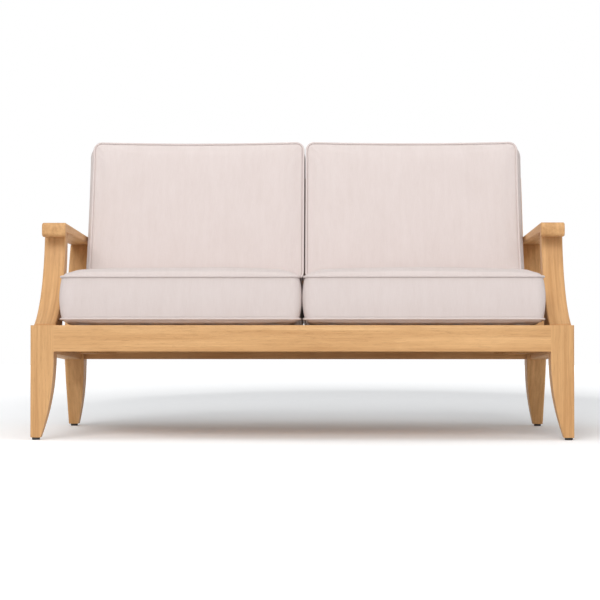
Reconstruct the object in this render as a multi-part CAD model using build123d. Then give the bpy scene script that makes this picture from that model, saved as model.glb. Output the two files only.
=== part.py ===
from build123d import *
import math
import os

# Patio loveseat: a teak frame with sabre legs, curved arm posts and a slatted seat
# and back, carrying two loose seat cushions and two loose back cushions.
# Millimetres. X runs along the seat, Z is up. Depths are measured backwards from the
# front faces of the front legs, and the finished pieces are moved so that the origin
# lies on the floor under the middle of the loveseat.

# Overall frame
overall_width = 1500.0
overall_depth = 900.0
seat_slope = 2.5
back_recline = 18.0
edge_break = 2.5
end_break = 1.5
overrun = 5.0

# Fits
joint_clearance = 0.15
dowel_clearance = 0.1
soft_clearance = 0.4
board_clearance = 0.5

# Front legs
front_leg_width = 64.0
front_leg_depth = 65.0
foot_width = 28.0
taper_start_height = 232.0

# Rear legs: one bent piece each, straight below and above a rounded knee
rear_leg_width = 60.0
rear_foot_inset = 75.0
rear_foot_depth = 40.0
rear_foot_width = 30.0
rear_knee_inset = 250.0
rear_knee_depth = 90.0
rear_knee_front_height = 262.0
rear_knee_front_radius = 250.0
rear_top_inset = 23.0
rear_top_depth = 60.0
rear_knee_back_height = 269.0
rear_knee_back_radius = 260.0

# Foot glides
glide_radius = 11.3
glide_height = 7.0
glide_edge_break = 1.5
glide_sides = 16
glide_stem_radius = 2.5
glide_stem_length = 22.0

# Seat rails
rail_top = 317.0
front_rail_height = 73.0
rail_thickness = 30.0
rear_rail_inset = 200.0
rear_rail_height = 74.0
side_rail_height = 78.0
side_rail_thickness = 50.0
rail_above_deck = 2.5
tenon_thickness = 12.0
tenon_length = 32.0
rear_tenon_length = 26.0
tenon_shoulder = 12.0
side_tenon_inset = 15.0

# Seat deck
deck_drop = 1.0
slat_count = 16
slat_width = 60.0
slat_thickness = 18.0
slat_side_gap = 20.0
slat_end_gap = 1.5
slat_edge_break = 1.5
cleat_depth = 22.0
cleat_height = 28.0
cleat_gap = 18.0
bearer_width = 35.0
bearer_height = 40.0
bearer_centre_share = 0.5
bearer_housing = 10.0
block_reach = 110.0
block_height = 40.0

# Arm posts
post_width = 60.0
post_tip_depth = 66.0
post_tip_height = 4.0
post_front_top = 266.0
post_front_radius = 322.0
post_heel_depth = 205.0
post_heel_height = 345.0
post_back_middle = 294.0
post_back_middle_height = 470.0
post_top_depth = 50.0

# Armrests
armrest_width = 68.0
armrest_front = 205.0
armrest_front_top = 613.0
armrest_fall = 1.8
armrest_front_under = 585.0
armrest_under_fall = 0.92
nose_height = 41.0
nose_length = 30.0
nose_top_radius = 15.0
nose_bottom_radius = 11.0
nose_hollow_radius = 8.0
armrest_tail_share = 0.25

# Dowels and pins
peg_sides = 6
dowel_radius = 5.0
post_dowel_length = 46.0
post_dowel_shares = (0.45, 0.80)
armrest_dowel_length = 40.0
armrest_dowel_bite = 11.0
armrest_dowel_spacing = 30.0
pin_radius = 4.0
pin_length = 52.0

# Back frame
back_plane_inset = 185.0
back_plane_height = 340.0
back_top_height = 790.0
stile_bottom_height = 300.0
stile_width = 48.0
stile_depth = 40.0
back_rail_depth = 34.0
back_top_rail_height = 72.0
back_bottom_rail_height = 60.0
back_bottom_rail_start = 345.0
back_tenon_length = 25.0
back_tenon_thickness = 14.0
back_slat_count = 13
back_slat_width = 44.0
back_slat_thickness = 14.0
back_slat_tenon = 12.0

# Back bolts
bolt_radius = 4.0
bolt_head_radius = 6.5
bolt_head_height = 8.0
bolt_counterbore = 12.0
bolt_socket_radius = 3.0
bolt_socket_depth = 4.0
bolt_socket_sides = 6
bolt_lower_height = 328.0
bolt_upper_height = 470.0
barrel_radius = 6.0
barrel_length = 18.0
barrel_inset = 30.0
bolt_clearance = 0.4
hardware_sides = 8

# Slat screws
screw_radius = 2.0
screw_head_radius = 4.0
screw_head_height = 2.2
screw_sides = 6
screw_length = 32.0
screw_end_inset = 11.0

# Seat cushions
seat_cushion_front = 11.0
seat_cushion_overhang = 2.0
seat_side_gap = 22.2
seat_middle_gap = 2.0
seat_boxing = 113.0
seat_boxing_bulge = 5.0
seat_top_crown = 31.0
seat_bottom_crown = 18.0
seat_corner_radius = 26.0
piping_radius = 3.2
corner_ease = 4.0
corner_facets = 3

# Crowns: a steep shoulder inside each seam, then a long flat arc. The plan's sides
# turn in towards its rounded corners.
cross_crown_share = 1.06
shoulder_reach = 70.0
shoulder_rise_share = 0.78
shoulder_bow_shares = (0.40, 0.66)
corner_turn = 12.0
trim_reach = 60.0

# Back cushions
back_side_gap = 26.2
back_middle_gap = 2.2
back_boxing = 140.0
back_boxing_bulge = 22.0
back_inner_bulge = 7.6
back_top_bulge = 7.0
back_front_crown = 20.0
back_rear_crown = 16.0
back_cushion_top = 889.0
back_corner_radius = 22.0
rest_flattening = 2.0

# Cushion filling and zips
wadding = 12.0
core_clearance = 0.4
zip_inset = 74.0
zip_tape_width = 26.0
zip_tape_thickness = 1.0
zip_recess = 0.8
zip_end = 4.0
zip_teeth_width = 5.0
zip_teeth_height = 1.6
slider_length = 12.0
slider_width = 9.0
slider_height = 3.6
slider_clearance = 0.3
slider_corner_break = 1.0
slider_tab_length = 24.0
slider_tab_width = 6.0
slider_tab_thickness = 1.0

# Levels and places that several pieces share
half_width = overall_width / 2
rear_foot_front = overall_depth - rear_foot_inset - rear_foot_depth
rear_knee_front = overall_depth - rear_knee_inset
rear_knee_back = rear_knee_front + rear_knee_depth
rear_top_front = overall_depth - rear_top_inset - rear_top_depth
rear_rail_front = overall_depth - rear_rail_inset
back_plane_depth = overall_depth - back_plane_inset
front_leg_inner = half_width - front_leg_width
rear_leg_inner = half_width - rear_leg_width
side_rail_inner = half_width - side_rail_thickness
front_rail_bottom = rail_top - front_rail_height
deck_front_height = rail_top - deck_drop
slope_angle = math.radians(seat_slope)
recline_angle = math.radians(back_recline)

# The deck plane lies on the tops of the seat slats: x along the seat, y backwards
# and down the slope, z square to the slats.
deck = Plane(
    origin=(0, rail_thickness, deck_front_height),
    x_dir=(1, 0, 0),
    z_dir=(0, math.sin(slope_angle), math.cos(slope_angle)),
)

# The back plane lies on the front of the back frame: x along the seat, y up the
# slope of the back, z square to it and forwards.
back = Plane(
    origin=(0, back_plane_depth, back_plane_height),
    x_dir=(1, 0, 0),
    z_dir=(0, -math.cos(recline_angle), math.sin(recline_angle)),
)


def deck_height(depth):
    """Height of the tops of the slats at a depth."""
    return deck_front_height - (depth - rail_thickness) * math.tan(slope_angle)


def deck_run(depth):
    """Distance along the deck plane to a depth."""
    return (depth - rail_thickness) / math.cos(slope_angle)


def back_run(height):
    """Distance along the back plane to a height."""
    return (height - back_plane_height) / math.cos(recline_angle)


def back_depth(height):
    """Depth of the back plane at a height."""
    return back_plane_depth + (height - back_plane_height) * math.tan(recline_angle)


def block(plane, low, high):
    """A box between two corners given in the axes of a plane."""
    size = [b - a for a, b in zip(low, high)]
    middle = [(a + b) / 2 for a, b in zip(low, high)]
    return plane * Pos(*middle) * Box(*size)


def side_shape(points, radii, inner, outer):
    """An outline in depth and height, carried along X from inner to outer."""
    outline = FilletPolyline(*points, radius=radii, close=True)
    return extrude(Plane.YZ.offset(inner) * make_face(outline), outer - inner)


def tapered_front_view(inner, top, foot):
    """The front view of a leg: straight outside, hollowed to the foot inside."""
    outer = half_width
    taper = TangentArc(
        (inner, taper_start_height),
        (outer - foot, glide_height),
        tangent=(0, -1),
    )
    sides = Polyline(
        (outer - foot, glide_height),
        (outer, glide_height),
        (outer, top),
        (inner, top),
        (inner, taper_start_height),
    )
    return extrude(Plane.XZ * make_face(taper + sides), -overall_depth)


def rod(start, direction, radius, length, sides):
    """A round rod, drawn with flat sides, from a point along a direction."""
    return Plane(origin=start, z_dir=direction) * extrude(
        RegularPolygon(radius, sides), length)


def both_sides(solid):
    """A right-hand piece and its mirror image."""
    return solid, mirror(solid, Plane.YZ)


# Foot glides

def glide_places():
    """Centres of the four feet, in X and depth, right-hand side first."""
    front = (half_width - foot_width / 2, foot_width / 2)
    rear = (half_width - rear_foot_width / 2, rear_foot_front + rear_foot_depth / 2)
    return [front, rear, (-front[0], front[1]), (-rear[0], rear[1])]


def foot_glides():
    """Plastic discs, each with a stem that is driven up into the foot of a leg."""
    glides = []
    for across, depth in glide_places():
        disc = rod((0, 0, 0), (0, 0, 1), glide_radius, glide_height, glide_sides)
        disc = chamfer(disc.faces().sort_by(Axis.Z)[0].edges(), glide_edge_break)
        stem = rod((0, 0, glide_height), (0, 0, 1), glide_stem_radius, glide_stem_length,
                   hardware_sides)
        glides.append(Pos(across, depth, 0) * (disc + stem))
    return Compound(children=glides)


def stem_hole(place):
    """The hole in a foot for the stem of its glide."""
    across, depth = place
    length = glide_stem_length + overrun + joint_clearance
    return rod((across, depth, glide_height - overrun), (0, 0, 1),
               glide_stem_radius + dowel_clearance, length, hardware_sides)


# Tenons of the rails, each also used, grown by the clearance, to cut its mortise

def grown_block(plane, low, high, growth):
    """A box grown all round."""
    return block(plane, [a - growth for a in low], [b + growth for b in high])


def front_rail_tenon(growth=0):
    """Right-hand tenon of the front rail."""
    middle = rail_thickness / 2
    return grown_block(
        Plane.XY,
        (front_leg_inner - overrun, middle - tenon_thickness / 2,
         front_rail_bottom + tenon_shoulder),
        (front_leg_inner + tenon_length, middle + tenon_thickness / 2,
         rail_top - tenon_shoulder),
        growth)


def rear_rail_bottom():
    """Height of the lower edge of the rear rail."""
    return rear_rail_top() - rear_rail_height


def rear_rail_top():
    """The rear rail's top is level with the deck where they meet."""
    return deck_height(rear_rail_front)


def rear_rail_tenon(growth=0):
    """Right-hand tenon of the rear rail."""
    middle = rear_rail_front + rail_thickness / 2
    return grown_block(
        Plane.XY,
        (rear_leg_inner - overrun, middle - tenon_thickness / 2,
         rear_rail_bottom() + tenon_shoulder),
        (rear_leg_inner + rear_tenon_length, middle + tenon_thickness / 2,
         rear_rail_top() - tenon_shoulder),
        growth)


def rear_leg_face_depth():
    """Depth of the foremost point of the rear leg, on the round of its knee."""
    upper = math.atan2(rear_top_front - rear_knee_front,
                       armrest_under(rear_top_front) - rear_knee_front_height)
    lower = math.atan2(rear_foot_front - rear_knee_front,
                       rear_knee_front_height - glide_height)
    mean = (upper + lower) / 2
    return rear_knee_front + rear_knee_front_radius * (1 / math.cos(mean) - 1)


def side_rail_tenon(growth=0):
    """Both tenons of the right-hand side rail, as one bar through the rail."""
    outer = half_width - side_tenon_inset
    return grown_block(
        deck,
        (outer - tenon_thickness, deck_run(front_leg_depth) - tenon_length,
         rail_above_deck - side_rail_height + tenon_shoulder),
        (outer, deck_run(rear_leg_face_depth()) + tenon_length,
         rail_above_deck - tenon_shoulder),
        growth)


# Legs

def front_leg():
    """Square sabre leg: both inner faces hollow away to a slim foot."""
    taper = TangentArc(
        (front_leg_depth, taper_start_height),
        (foot_width, glide_height),
        tangent=(0, -1),
    )
    sides = Polyline(
        (foot_width, glide_height),
        (0, glide_height),
        (0, rail_top),
        (front_leg_depth, rail_top),
        (front_leg_depth, taper_start_height),
    )
    side_view = extrude(Plane.YZ.offset(front_leg_inner) * make_face(taper + sides),
                        front_leg_width)
    leg = side_view & tapered_front_view(front_leg_inner, rail_top, foot_width)
    outer_edges = leg.edges().filter_by(Axis.Z).filter_by_position(
        Axis.X, half_width - edge_break, half_width + edge_break)
    leg = chamfer(outer_edges, edge_break)
    leg -= front_rail_tenon(joint_clearance)
    leg -= side_rail_tenon(joint_clearance)
    leg -= side_pin(front_pin_depth(), front_leg_inner, dowel_clearance)
    return leg - stem_hole(glide_places()[0])


def rear_leg_blank():
    """The bent rear leg before its joints are cut."""
    top = armrest_under(rear_top_front)
    top_back = armrest_under(rear_top_front + rear_top_depth)
    outline = [
        (rear_foot_front, glide_height),
        (rear_knee_front, rear_knee_front_height),
        (rear_top_front, top),
        (rear_top_front + rear_top_depth, top_back),
        (rear_knee_back, rear_knee_back_height),
        (rear_foot_front + rear_foot_depth, glide_height),
    ]
    radii = [0, rear_knee_front_radius, 0, 0, rear_knee_back_radius, 0]
    side_view = side_shape(outline, radii, rear_leg_inner, half_width)
    return side_view & tapered_front_view(rear_leg_inner, armrest_front_top, rear_foot_width)


def rear_leg():
    """Rear leg and back post in one bent piece, up to the underside of the armrest."""
    leg = rear_leg_blank()
    outside = leg.faces().sort_by(Axis.X)[-1]
    long_edges = [edge for edge in outside.edges() if edge.length > rear_leg_width]
    leg = chamfer(long_edges, edge_break)
    leg -= rear_rail_tenon(joint_clearance)
    leg -= side_rail_tenon(joint_clearance)
    leg -= side_pin(rear_pin_depth(), rear_leg_inner, dowel_clearance)
    for place in armrest_dowel_places()[2:]:
        leg -= armrest_dowel(place, dowel_clearance)
    for height in (bolt_lower_height, bolt_upper_height):
        leg -= bolt_hole(height)
        leg -= barrel_hole(height)
    return leg - stem_hole(glide_places()[1])


# Seat rails

def front_rail():
    """Front rail, flush with the legs, with a tenon at each end."""
    bar = block(Plane.XY, (-front_leg_inner, 0, front_rail_bottom),
                (front_leg_inner, rail_thickness, rail_top))
    bar = chamfer(bar.edges().filter_by(Axis.X), end_break)
    tenon = front_rail_tenon()
    return bar + tenon + mirror(tenon, Plane.YZ)


def rear_rail():
    """Rear rail between the rear legs."""
    bar = block(Plane.XY, (-rear_leg_inner, rear_rail_front, rear_rail_bottom()),
                (rear_leg_inner, rear_rail_front + rail_thickness, rear_rail_top()))
    bar = chamfer(bar.edges().filter_by(Axis.X), end_break)
    tenon = rear_rail_tenon()
    return bar + tenon + mirror(tenon, Plane.YZ)


def side_rail():
    """Sloping side rail, scribed to the round front of the rear leg.

    It starts as a bar that runs on past the rear leg, and the leg cuts it to length."""
    bar = block(deck,
                (side_rail_inner, deck_run(front_leg_depth) - overrun,
                 rail_above_deck - side_rail_height),
                (half_width, deck_run(rear_top_front), rail_above_deck))
    in_front = block(Plane.XY, (0, -overrun, 0), (overall_width, front_leg_depth, overall_width))
    bar = bar - in_front - rear_leg_blank()
    bar = bar.solids().sort_by(Axis.Y)[0]
    long_edges = [edge for edge in bar.edges() if edge.length > overall_depth / 2]
    lower = ShapeList(long_edges).sort_by(Axis.Z)[:2]
    bar = chamfer(lower, edge_break).solids().sort_by(Axis.Y)[0]
    rail = bar + side_rail_tenon()
    for spot in post_dowel_places():
        rail -= post_dowel(spot, dowel_clearance)
    rail -= side_pin(front_pin_depth(), front_leg_inner, dowel_clearance)
    rail -= side_pin(rear_pin_depth(), rear_leg_inner, dowel_clearance)
    return rail - seat_bearer(joint_clearance)


# Wooden pins that lock the side rails' tenons, driven from the hidden inner faces

def front_pin_depth():
    """Depth of the pin through the front tenon."""
    return front_leg_depth - tenon_length / 2


def rear_pin_depth():
    """Depth of the pin through the rear tenon."""
    return rear_leg_face_depth() + tenon_length / 2


def side_pin(depth, inner, growth=0):
    """A wooden pin across a side rail's tenon."""
    height = deck_height(depth) + rail_above_deck - side_rail_height / 2
    return rod((inner, depth, height), (1, 0, 0), pin_radius + growth, pin_length + growth,
               peg_sides)


def tenon_pins():
    """The four pins of the side rails' tenons."""
    pins = []
    for depth, inner in ((front_pin_depth(), front_leg_inner), (rear_pin_depth(), rear_leg_inner)):
        pins.extend(both_sides(side_pin(depth, inner)))
    return Compound(children=pins)


# Arm posts

def side_rail_top(depth):
    """Height of the side rail's upper edge at a depth."""
    return deck_height(depth) + rail_above_deck / math.cos(slope_angle)


def post_dowel_places():
    """Depths of the dowels between a side rail and its arm post."""
    span = post_heel_depth - post_tip_depth
    return [post_tip_depth + span * share for share in post_dowel_shares]


def post_dowel(depth, growth=0):
    """A dowel square to the side rail, half in the rail and half in the post."""
    across = half_width - side_rail_thickness / 2
    up = deck.z_dir
    start = Vector(across, depth, side_rail_top(depth)) - up * (post_dowel_length / 2 + growth)
    return rod(start, up, dowel_radius + growth, post_dowel_length + 2 * growth, peg_sides)


def armrest_under(depth):
    """Height of the armrest's underside at a depth."""
    start = armrest_front + nose_length
    return armrest_front_under - (depth - start) * math.tan(math.radians(armrest_under_fall))


def armrest_top(depth):
    """Height of the armrest's upper face at a depth."""
    return armrest_front_top - (depth - armrest_front) * math.tan(math.radians(armrest_fall))


def arm_post():
    """Curved post that sweeps back and up from the front leg to the armrest."""
    toe = (post_tip_depth, side_rail_top(post_tip_depth))
    tip = (post_tip_depth, toe[1] + post_tip_height)
    front_top = (post_front_top, armrest_under(post_front_top))
    back_top = (post_front_top + post_top_depth,
                armrest_under(post_front_top + post_top_depth))
    heel_top = (post_heel_depth, post_heel_height)
    heel = (post_heel_depth, side_rail_top(post_heel_depth))
    front = RadiusArc(tip, front_top, -post_front_radius)
    rear = ThreePointArc(heel_top, (post_back_middle, post_back_middle_height), back_top)
    outline = (front + Line(front_top, back_top) + rear + Line(heel_top, heel)
               + Line(heel, toe) + Line(toe, tip))
    post = extrude(Plane.YZ.offset(half_width - post_width) * make_face(outline), post_width)
    long_edges = [edge for edge in post.edges()
                  if edge.geom_type == GeomType.CIRCLE and edge.length > post_width]
    post = chamfer(long_edges, edge_break)
    for spot in post_dowel_places():
        post -= post_dowel(spot, dowel_clearance)
    for place in armrest_dowel_places()[:2]:
        post -= armrest_dowel(place, dowel_clearance)
    return post


def armrest_dowel_places():
    """X and depth of the dowels under an armrest: two in the post, two in the rear leg."""
    middle = half_width - post_width / 2
    front = post_front_top + post_top_depth / 2
    rear = rear_top_front + rear_top_depth / 2
    step = armrest_dowel_spacing / 2
    return [(middle - step, front), (middle + step, front),
            (middle - step, rear), (middle + step, rear)]


def armrest_dowel(place, growth=0):
    """An upright dowel that bites into the armrest from below."""
    across, depth = place
    top = armrest_under(depth) + armrest_dowel_bite + growth
    length = armrest_dowel_length + 2 * growth
    return rod((across, depth, top - length), (0, 0, 1), dowel_radius + growth, length,
               peg_sides)


def arm_dowels():
    """All the dowels of both arms."""
    dowels = []
    for spot in post_dowel_places():
        dowels.extend(both_sides(post_dowel(spot)))
    for place in armrest_dowel_places():
        dowels.extend(both_sides(armrest_dowel(place)))
    return Compound(children=dowels)


def armrest():
    """Board with a rounded nose that rolls over and under at the front."""
    front = armrest_front
    top = armrest_front_top
    neck = front + nose_length
    outline = [
        (front, top),
        (overall_depth, armrest_top(overall_depth)),
        (overall_depth, armrest_under(overall_depth)),
        (neck, armrest_front_under),
        (neck, top - nose_height),
        (front, top - nose_height),
    ]
    tail = (armrest_top(overall_depth) - armrest_under(overall_depth)) * armrest_tail_share
    radii = [nose_top_radius, tail, tail, nose_hollow_radius, edge_break, nose_bottom_radius]
    rest = side_shape(outline, radii, half_width - armrest_width, half_width)
    flanks = rest.faces().sort_by(Axis.X)
    rest = chamfer(flanks[0].edges() + flanks[-1].edges(), edge_break)
    for place in armrest_dowel_places():
        rest -= armrest_dowel(place, dowel_clearance)
    return rest - stile_blank(board_clearance)


# Seat deck

def deck_end():
    """Run along the deck to the front face of the rear rail."""
    return deck_run(rear_rail_front)


def slat_centres():
    """X of each seat slat, evenly spread between the side rails."""
    field_half_width = side_rail_inner - slat_side_gap
    pitch = (2 * field_half_width - slat_width) / (slat_count - 1)
    first = -field_half_width + slat_width / 2
    return [first + pitch * index for index in range(slat_count)]


def seat_slats():
    """Slats from front to back with eased upper edges, screwed down at both ends."""
    slats = []
    for centre in slat_centres():
        slat = Pos(centre, deck_end() / 2, -slat_thickness / 2) * Box(
            slat_width, deck_end() - 2 * slat_end_gap, slat_thickness)
        upper = slat.edges().filter_by(Axis.Y).sort_by(Axis.Z)[-2:]
        slat = chamfer(upper, slat_edge_break)
        for spot in screw_places():
            slat -= Pos(centre, spot, 0) * screw_shape(joint_clearance)
        slats.append(deck * slat)
    return Compound(children=slats)


def screw_places():
    """Runs along the deck of the two screws of a slat."""
    return [screw_end_inset, deck_end() - screw_end_inset]


def screw_shape(growth=0):
    """Countersunk screw with its head level with the slat, drawn with flat sides."""
    wide = RegularPolygon(screw_head_radius + growth, screw_sides)
    slim = RegularPolygon(screw_radius + growth, screw_sides)
    neck = screw_head_height + growth
    head = loft([wide, Pos(0, 0, -neck) * slim], ruled=True)
    return head + Pos(0, 0, -neck) * extrude(slim, neck - screw_length - growth)


def slat_screws():
    """One screw through each end of each slat."""
    screws = []
    for centre in slat_centres():
        for spot in screw_places():
            screws.append(deck * Pos(centre, spot, 0) * screw_shape())
    return Compound(children=screws)


def screw_holes():
    """Pilot holes of the slat screws."""
    length = screw_length - slat_thickness + joint_clearance
    pilot = extrude(RegularPolygon(screw_radius + joint_clearance, screw_sides),
                    (length + overrun) / 2, both=True)
    holes = [Pos(centre, spot, -slat_thickness - length / 2) * pilot
             for centre in slat_centres() for spot in screw_places()]
    return deck * Compound(children=holes)


def slat_cleat(at_rear):
    """Strip on the inner face of a rail that carries the ends of the slats."""
    half_length = side_rail_inner - block_reach - cleat_gap
    start = deck_end() - cleat_depth if at_rear else 0
    strip = block(deck, (-half_length, start, -slat_thickness - cleat_height),
                  (half_length, start + cleat_depth, -slat_thickness))
    face = rear_rail_front if at_rear else rail_thickness
    low, high = (face, overall_depth) if at_rear else (-overrun, face)
    strip -= block(Plane.XY, (-overall_width, low, 0), (overall_width, high, overall_width))
    return strip - screw_holes()


def seat_bearer(growth=0):
    """Bar under the middle of the slats, housed in both side rails."""
    middle = deck_end() * bearer_centre_share
    half = side_rail_inner + bearer_housing
    return block(deck,
                 (-half - growth, middle - bearer_width / 2 - growth,
                  -slat_thickness - bearer_height - growth),
                 (half + growth, middle + bearer_width / 2 + growth, -slat_thickness))


def corner_blocks():
    """Four blocks scribed round the legs in the corners of the seat frame."""
    gap = joint_clearance
    front_face = rail_thickness
    leg_face = front_leg_depth + gap
    reach = block_reach
    front = Polyline(
        (side_rail_inner - reach, front_face),
        (front_leg_inner - gap, front_face),
        (front_leg_inner - gap, leg_face),
        (side_rail_inner, leg_face),
        (side_rail_inner, front_face + reach),
        (side_rail_inner - reach, front_face))
    rear_face = rear_rail_front
    leg_front = rear_leg_face_depth() - gap
    rear = Polyline(
        (side_rail_inner - reach, rear_face),
        (rear_leg_inner - gap, rear_face),
        (rear_leg_inner - gap, leg_front),
        (side_rail_inner, leg_front),
        (side_rail_inner, rear_face - reach),
        (side_rail_inner - reach, rear_face))
    blocks = []
    top = -slat_thickness
    band = block(deck, (-overall_width, -overall_width, top - block_height),
                 (overall_width, overall_width, top))
    for outline in (front, rear):
        prism = extrude(make_face(outline), overall_width) & band
        blocks.extend(both_sides(prism - screw_holes()))
    return Compound(children=blocks)


# Back frame, built in the back plane

def back_top_run():
    """Run along the back plane to the top of the back frame."""
    return back_run(back_top_height)


def back_rail_spans():
    """Runs of the lower and upper edges of the two back rails."""
    low = back_run(back_bottom_rail_start)
    top = back_top_run()
    return {"bottom": (low, low + back_bottom_rail_height),
            "top": (top - back_top_rail_height, top)}


def stile_inner():
    """X of the inner face of a back stile."""
    return rear_leg_inner - stile_width


def stile_blank(growth=0):
    """Squared stile; grown, it cuts the notch that lets it past the armrest."""
    return grown_block(back, (stile_inner(), back_run(stile_bottom_height), -stile_depth),
                       (rear_leg_inner, back_top_run(), 0), growth)


def back_stile():
    """Upright of the back frame, bolted to the inner face of the rear leg."""
    stile = stile_blank()
    inner_edges = stile.edges().group_by(Axis.X)[0]
    stile = chamfer(inner_edges.filter_by(lambda edge: edge.length > rear_leg_width),
                    edge_break)
    for which in back_rail_spans():
        stile -= back_rail_tenon(which, joint_clearance)
    for height in (bolt_lower_height, bolt_upper_height):
        stile -= bolt_hole(height)
        stile -= head_hole(height)
    return stile


def back_rail_tenon(which, growth=0):
    """Right-hand tenon of a back rail."""
    low, high = back_rail_spans()[which]
    inner = stile_inner()
    middle = -back_rail_depth / 2
    return grown_block(
        back,
        (inner - overrun, low + tenon_shoulder, middle - back_tenon_thickness / 2),
        (inner + back_tenon_length, high - tenon_shoulder, middle + back_tenon_thickness / 2),
        growth)


def back_rail(which):
    """A long rail of the back frame, grooved for the ends of the back slats."""
    low, high = back_rail_spans()[which]
    bar = block(back, (-stile_inner(), low, -back_rail_depth), (stile_inner(), high, 0))
    bar = chamfer(bar.edges().filter_by(Axis.X), edge_break)
    tenon = back_rail_tenon(which)
    rail = bar + tenon + mirror(tenon, Plane.YZ)
    for centre in back_slat_centres():
        rail -= back_slat(centre, joint_clearance)
    return rail


def back_slat_centres():
    """X of each back slat, with equal gaps between them and the stiles."""
    clear = 2 * stile_inner()
    gap = (clear - back_slat_count * back_slat_width) / (back_slat_count + 1)
    pitch = back_slat_width + gap
    first = -stile_inner() + gap + back_slat_width / 2
    return [first + pitch * index for index in range(back_slat_count)]


def back_slat(centre, growth=0):
    """An upright slat whose ends are let into both back rails."""
    spans = back_rail_spans()
    middle = -back_rail_depth / 2
    return grown_block(
        back,
        (centre - back_slat_width / 2, spans["bottom"][1] - back_slat_tenon,
         middle - back_slat_thickness / 2),
        (centre + back_slat_width / 2, spans["top"][0] + back_slat_tenon,
         middle + back_slat_thickness / 2),
        growth)


def back_slats():
    """All the upright slats of the back."""
    return Compound(children=[back_slat(centre) for centre in back_slat_centres()])


# Bolts that hold the back frame to the rear legs

def bolt_start(height):
    """Where a bolt's head seats, in the counterbore of the stile's inner face."""
    depth = back_depth(height) + stile_depth / 2 / math.cos(recline_angle)
    return Vector(stile_inner() + bolt_counterbore, depth, height)


def bolt_length():
    """Length of a bolt under its head, into its barrel nut."""
    return rear_leg_inner + barrel_inset + barrel_radius - bolt_start(bolt_lower_height).X


def back_bolt(height):
    """Socket-head bolt: plain shank, round head and a socket for the key."""
    start = bolt_start(height)
    shank = rod(start, (1, 0, 0), bolt_radius, bolt_length(), hardware_sides)
    head = rod(start - Vector(bolt_head_height, 0, 0), (1, 0, 0), bolt_head_radius,
               bolt_head_height, hardware_sides)
    socket = Plane(origin=start - Vector(bolt_head_height, 0, 0), z_dir=(1, 0, 0)) * extrude(
        RegularPolygon(bolt_socket_radius, bolt_socket_sides), bolt_socket_depth)
    return shank + head - socket


def bolt_hole(height):
    """Clearance hole for a bolt through the stile and into the leg."""
    start = bolt_start(height)
    return rod(start, (1, 0, 0), bolt_radius + bolt_clearance,
               bolt_length() + bolt_clearance, hardware_sides)


def head_hole(height):
    """Counterbore for a bolt's head."""
    mouth = Vector(stile_inner() - overrun, *tuple(bolt_start(height))[1:])
    return rod(mouth, (1, 0, 0), bolt_head_radius + bolt_clearance,
               bolt_counterbore + overrun, hardware_sides)


def barrel_nut(height):
    """Cross-drilled barrel nut in the leg, square to its bolt."""
    seat = bolt_start(height)
    centre = Vector(rear_leg_inner + barrel_inset, seat.Y, seat.Z)
    nut = rod(centre - Vector(0, barrel_length / 2, 0), (0, 1, 0), barrel_radius,
              barrel_length, hardware_sides)
    return nut - rod(Vector(rear_leg_inner, seat.Y, seat.Z), (1, 0, 0),
                     bolt_radius + dowel_clearance, 2 * barrel_inset, hardware_sides)


def barrel_hole(height):
    """Hole for a barrel nut, drilled forwards from the back edge of the leg."""
    seat = bolt_start(height)
    front = Vector(rear_leg_inner + barrel_inset, seat.Y - barrel_length / 2 - dowel_clearance,
                   seat.Z)
    return rod(front, (0, 1, 0), barrel_radius + dowel_clearance, overall_depth - front.Y,
               hardware_sides)


def back_bolts():
    """Two bolts at each side of the back frame."""
    bolts = []
    for height in (bolt_lower_height, bolt_upper_height):
        bolts.extend(both_sides(back_bolt(height)))
    return Compound(children=bolts)


def barrel_nuts():
    """The barrel nuts of the back bolts."""
    nuts = []
    for height in (bolt_lower_height, bolt_upper_height):
        nuts.extend(both_sides(barrel_nut(height)))
    return Compound(children=nuts)


# Cushions. A cushion's outline is (left, right, near, far) in its plane, at a level
# square to that plane. "near" may move with the level, where one face is sheared.

def crown_line(start, end, level, rise):
    """Edge of a section, from start to end: a long arc between two steep shoulders."""
    way = 1 if end > start else -1
    bow_in, bow_up = shoulder_bow_shares
    shoulder = rise * shoulder_rise_share
    first = (start + way * shoulder_reach, level + shoulder)
    last = (end - way * shoulder_reach, level + shoulder)
    return (
        ThreePointArc((start, level), (start + way * shoulder_reach * bow_in,
                                       level + shoulder * bow_up), first)
        + ThreePointArc(first, ((start + end) / 2, level + rise), last)
        + ThreePointArc(last, (end - way * shoulder_reach * bow_in,
                               level + shoulder * bow_up), (end, level)))


def side_line(start, end, bulge):
    """Side of a section between its seams, straight or bulging by a sideways step."""
    if not bulge:
        return Line(start, end)
    return ThreePointArc(start, ((start[0] + end[0]) / 2 + bulge, (start[1] + end[1]) / 2), end)


def cushion_section(at_low, at_high, seams, crowns, bulges):
    """A closed section of a cushion, in across and level. at_low and at_high are the
    first and last places of the section at the lower and the upper seam."""
    low, high = seams
    under, over = crowns
    return make_face(
        crown_line(at_high[1], at_high[0], high, over)
        + side_line((at_high[0], high), (at_low[0], low), -bulges[0])
        + crown_line(at_low[0], at_low[1], low, -under)
        + side_line((at_low[1], low), (at_high[1], high), bulges[1]))


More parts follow.
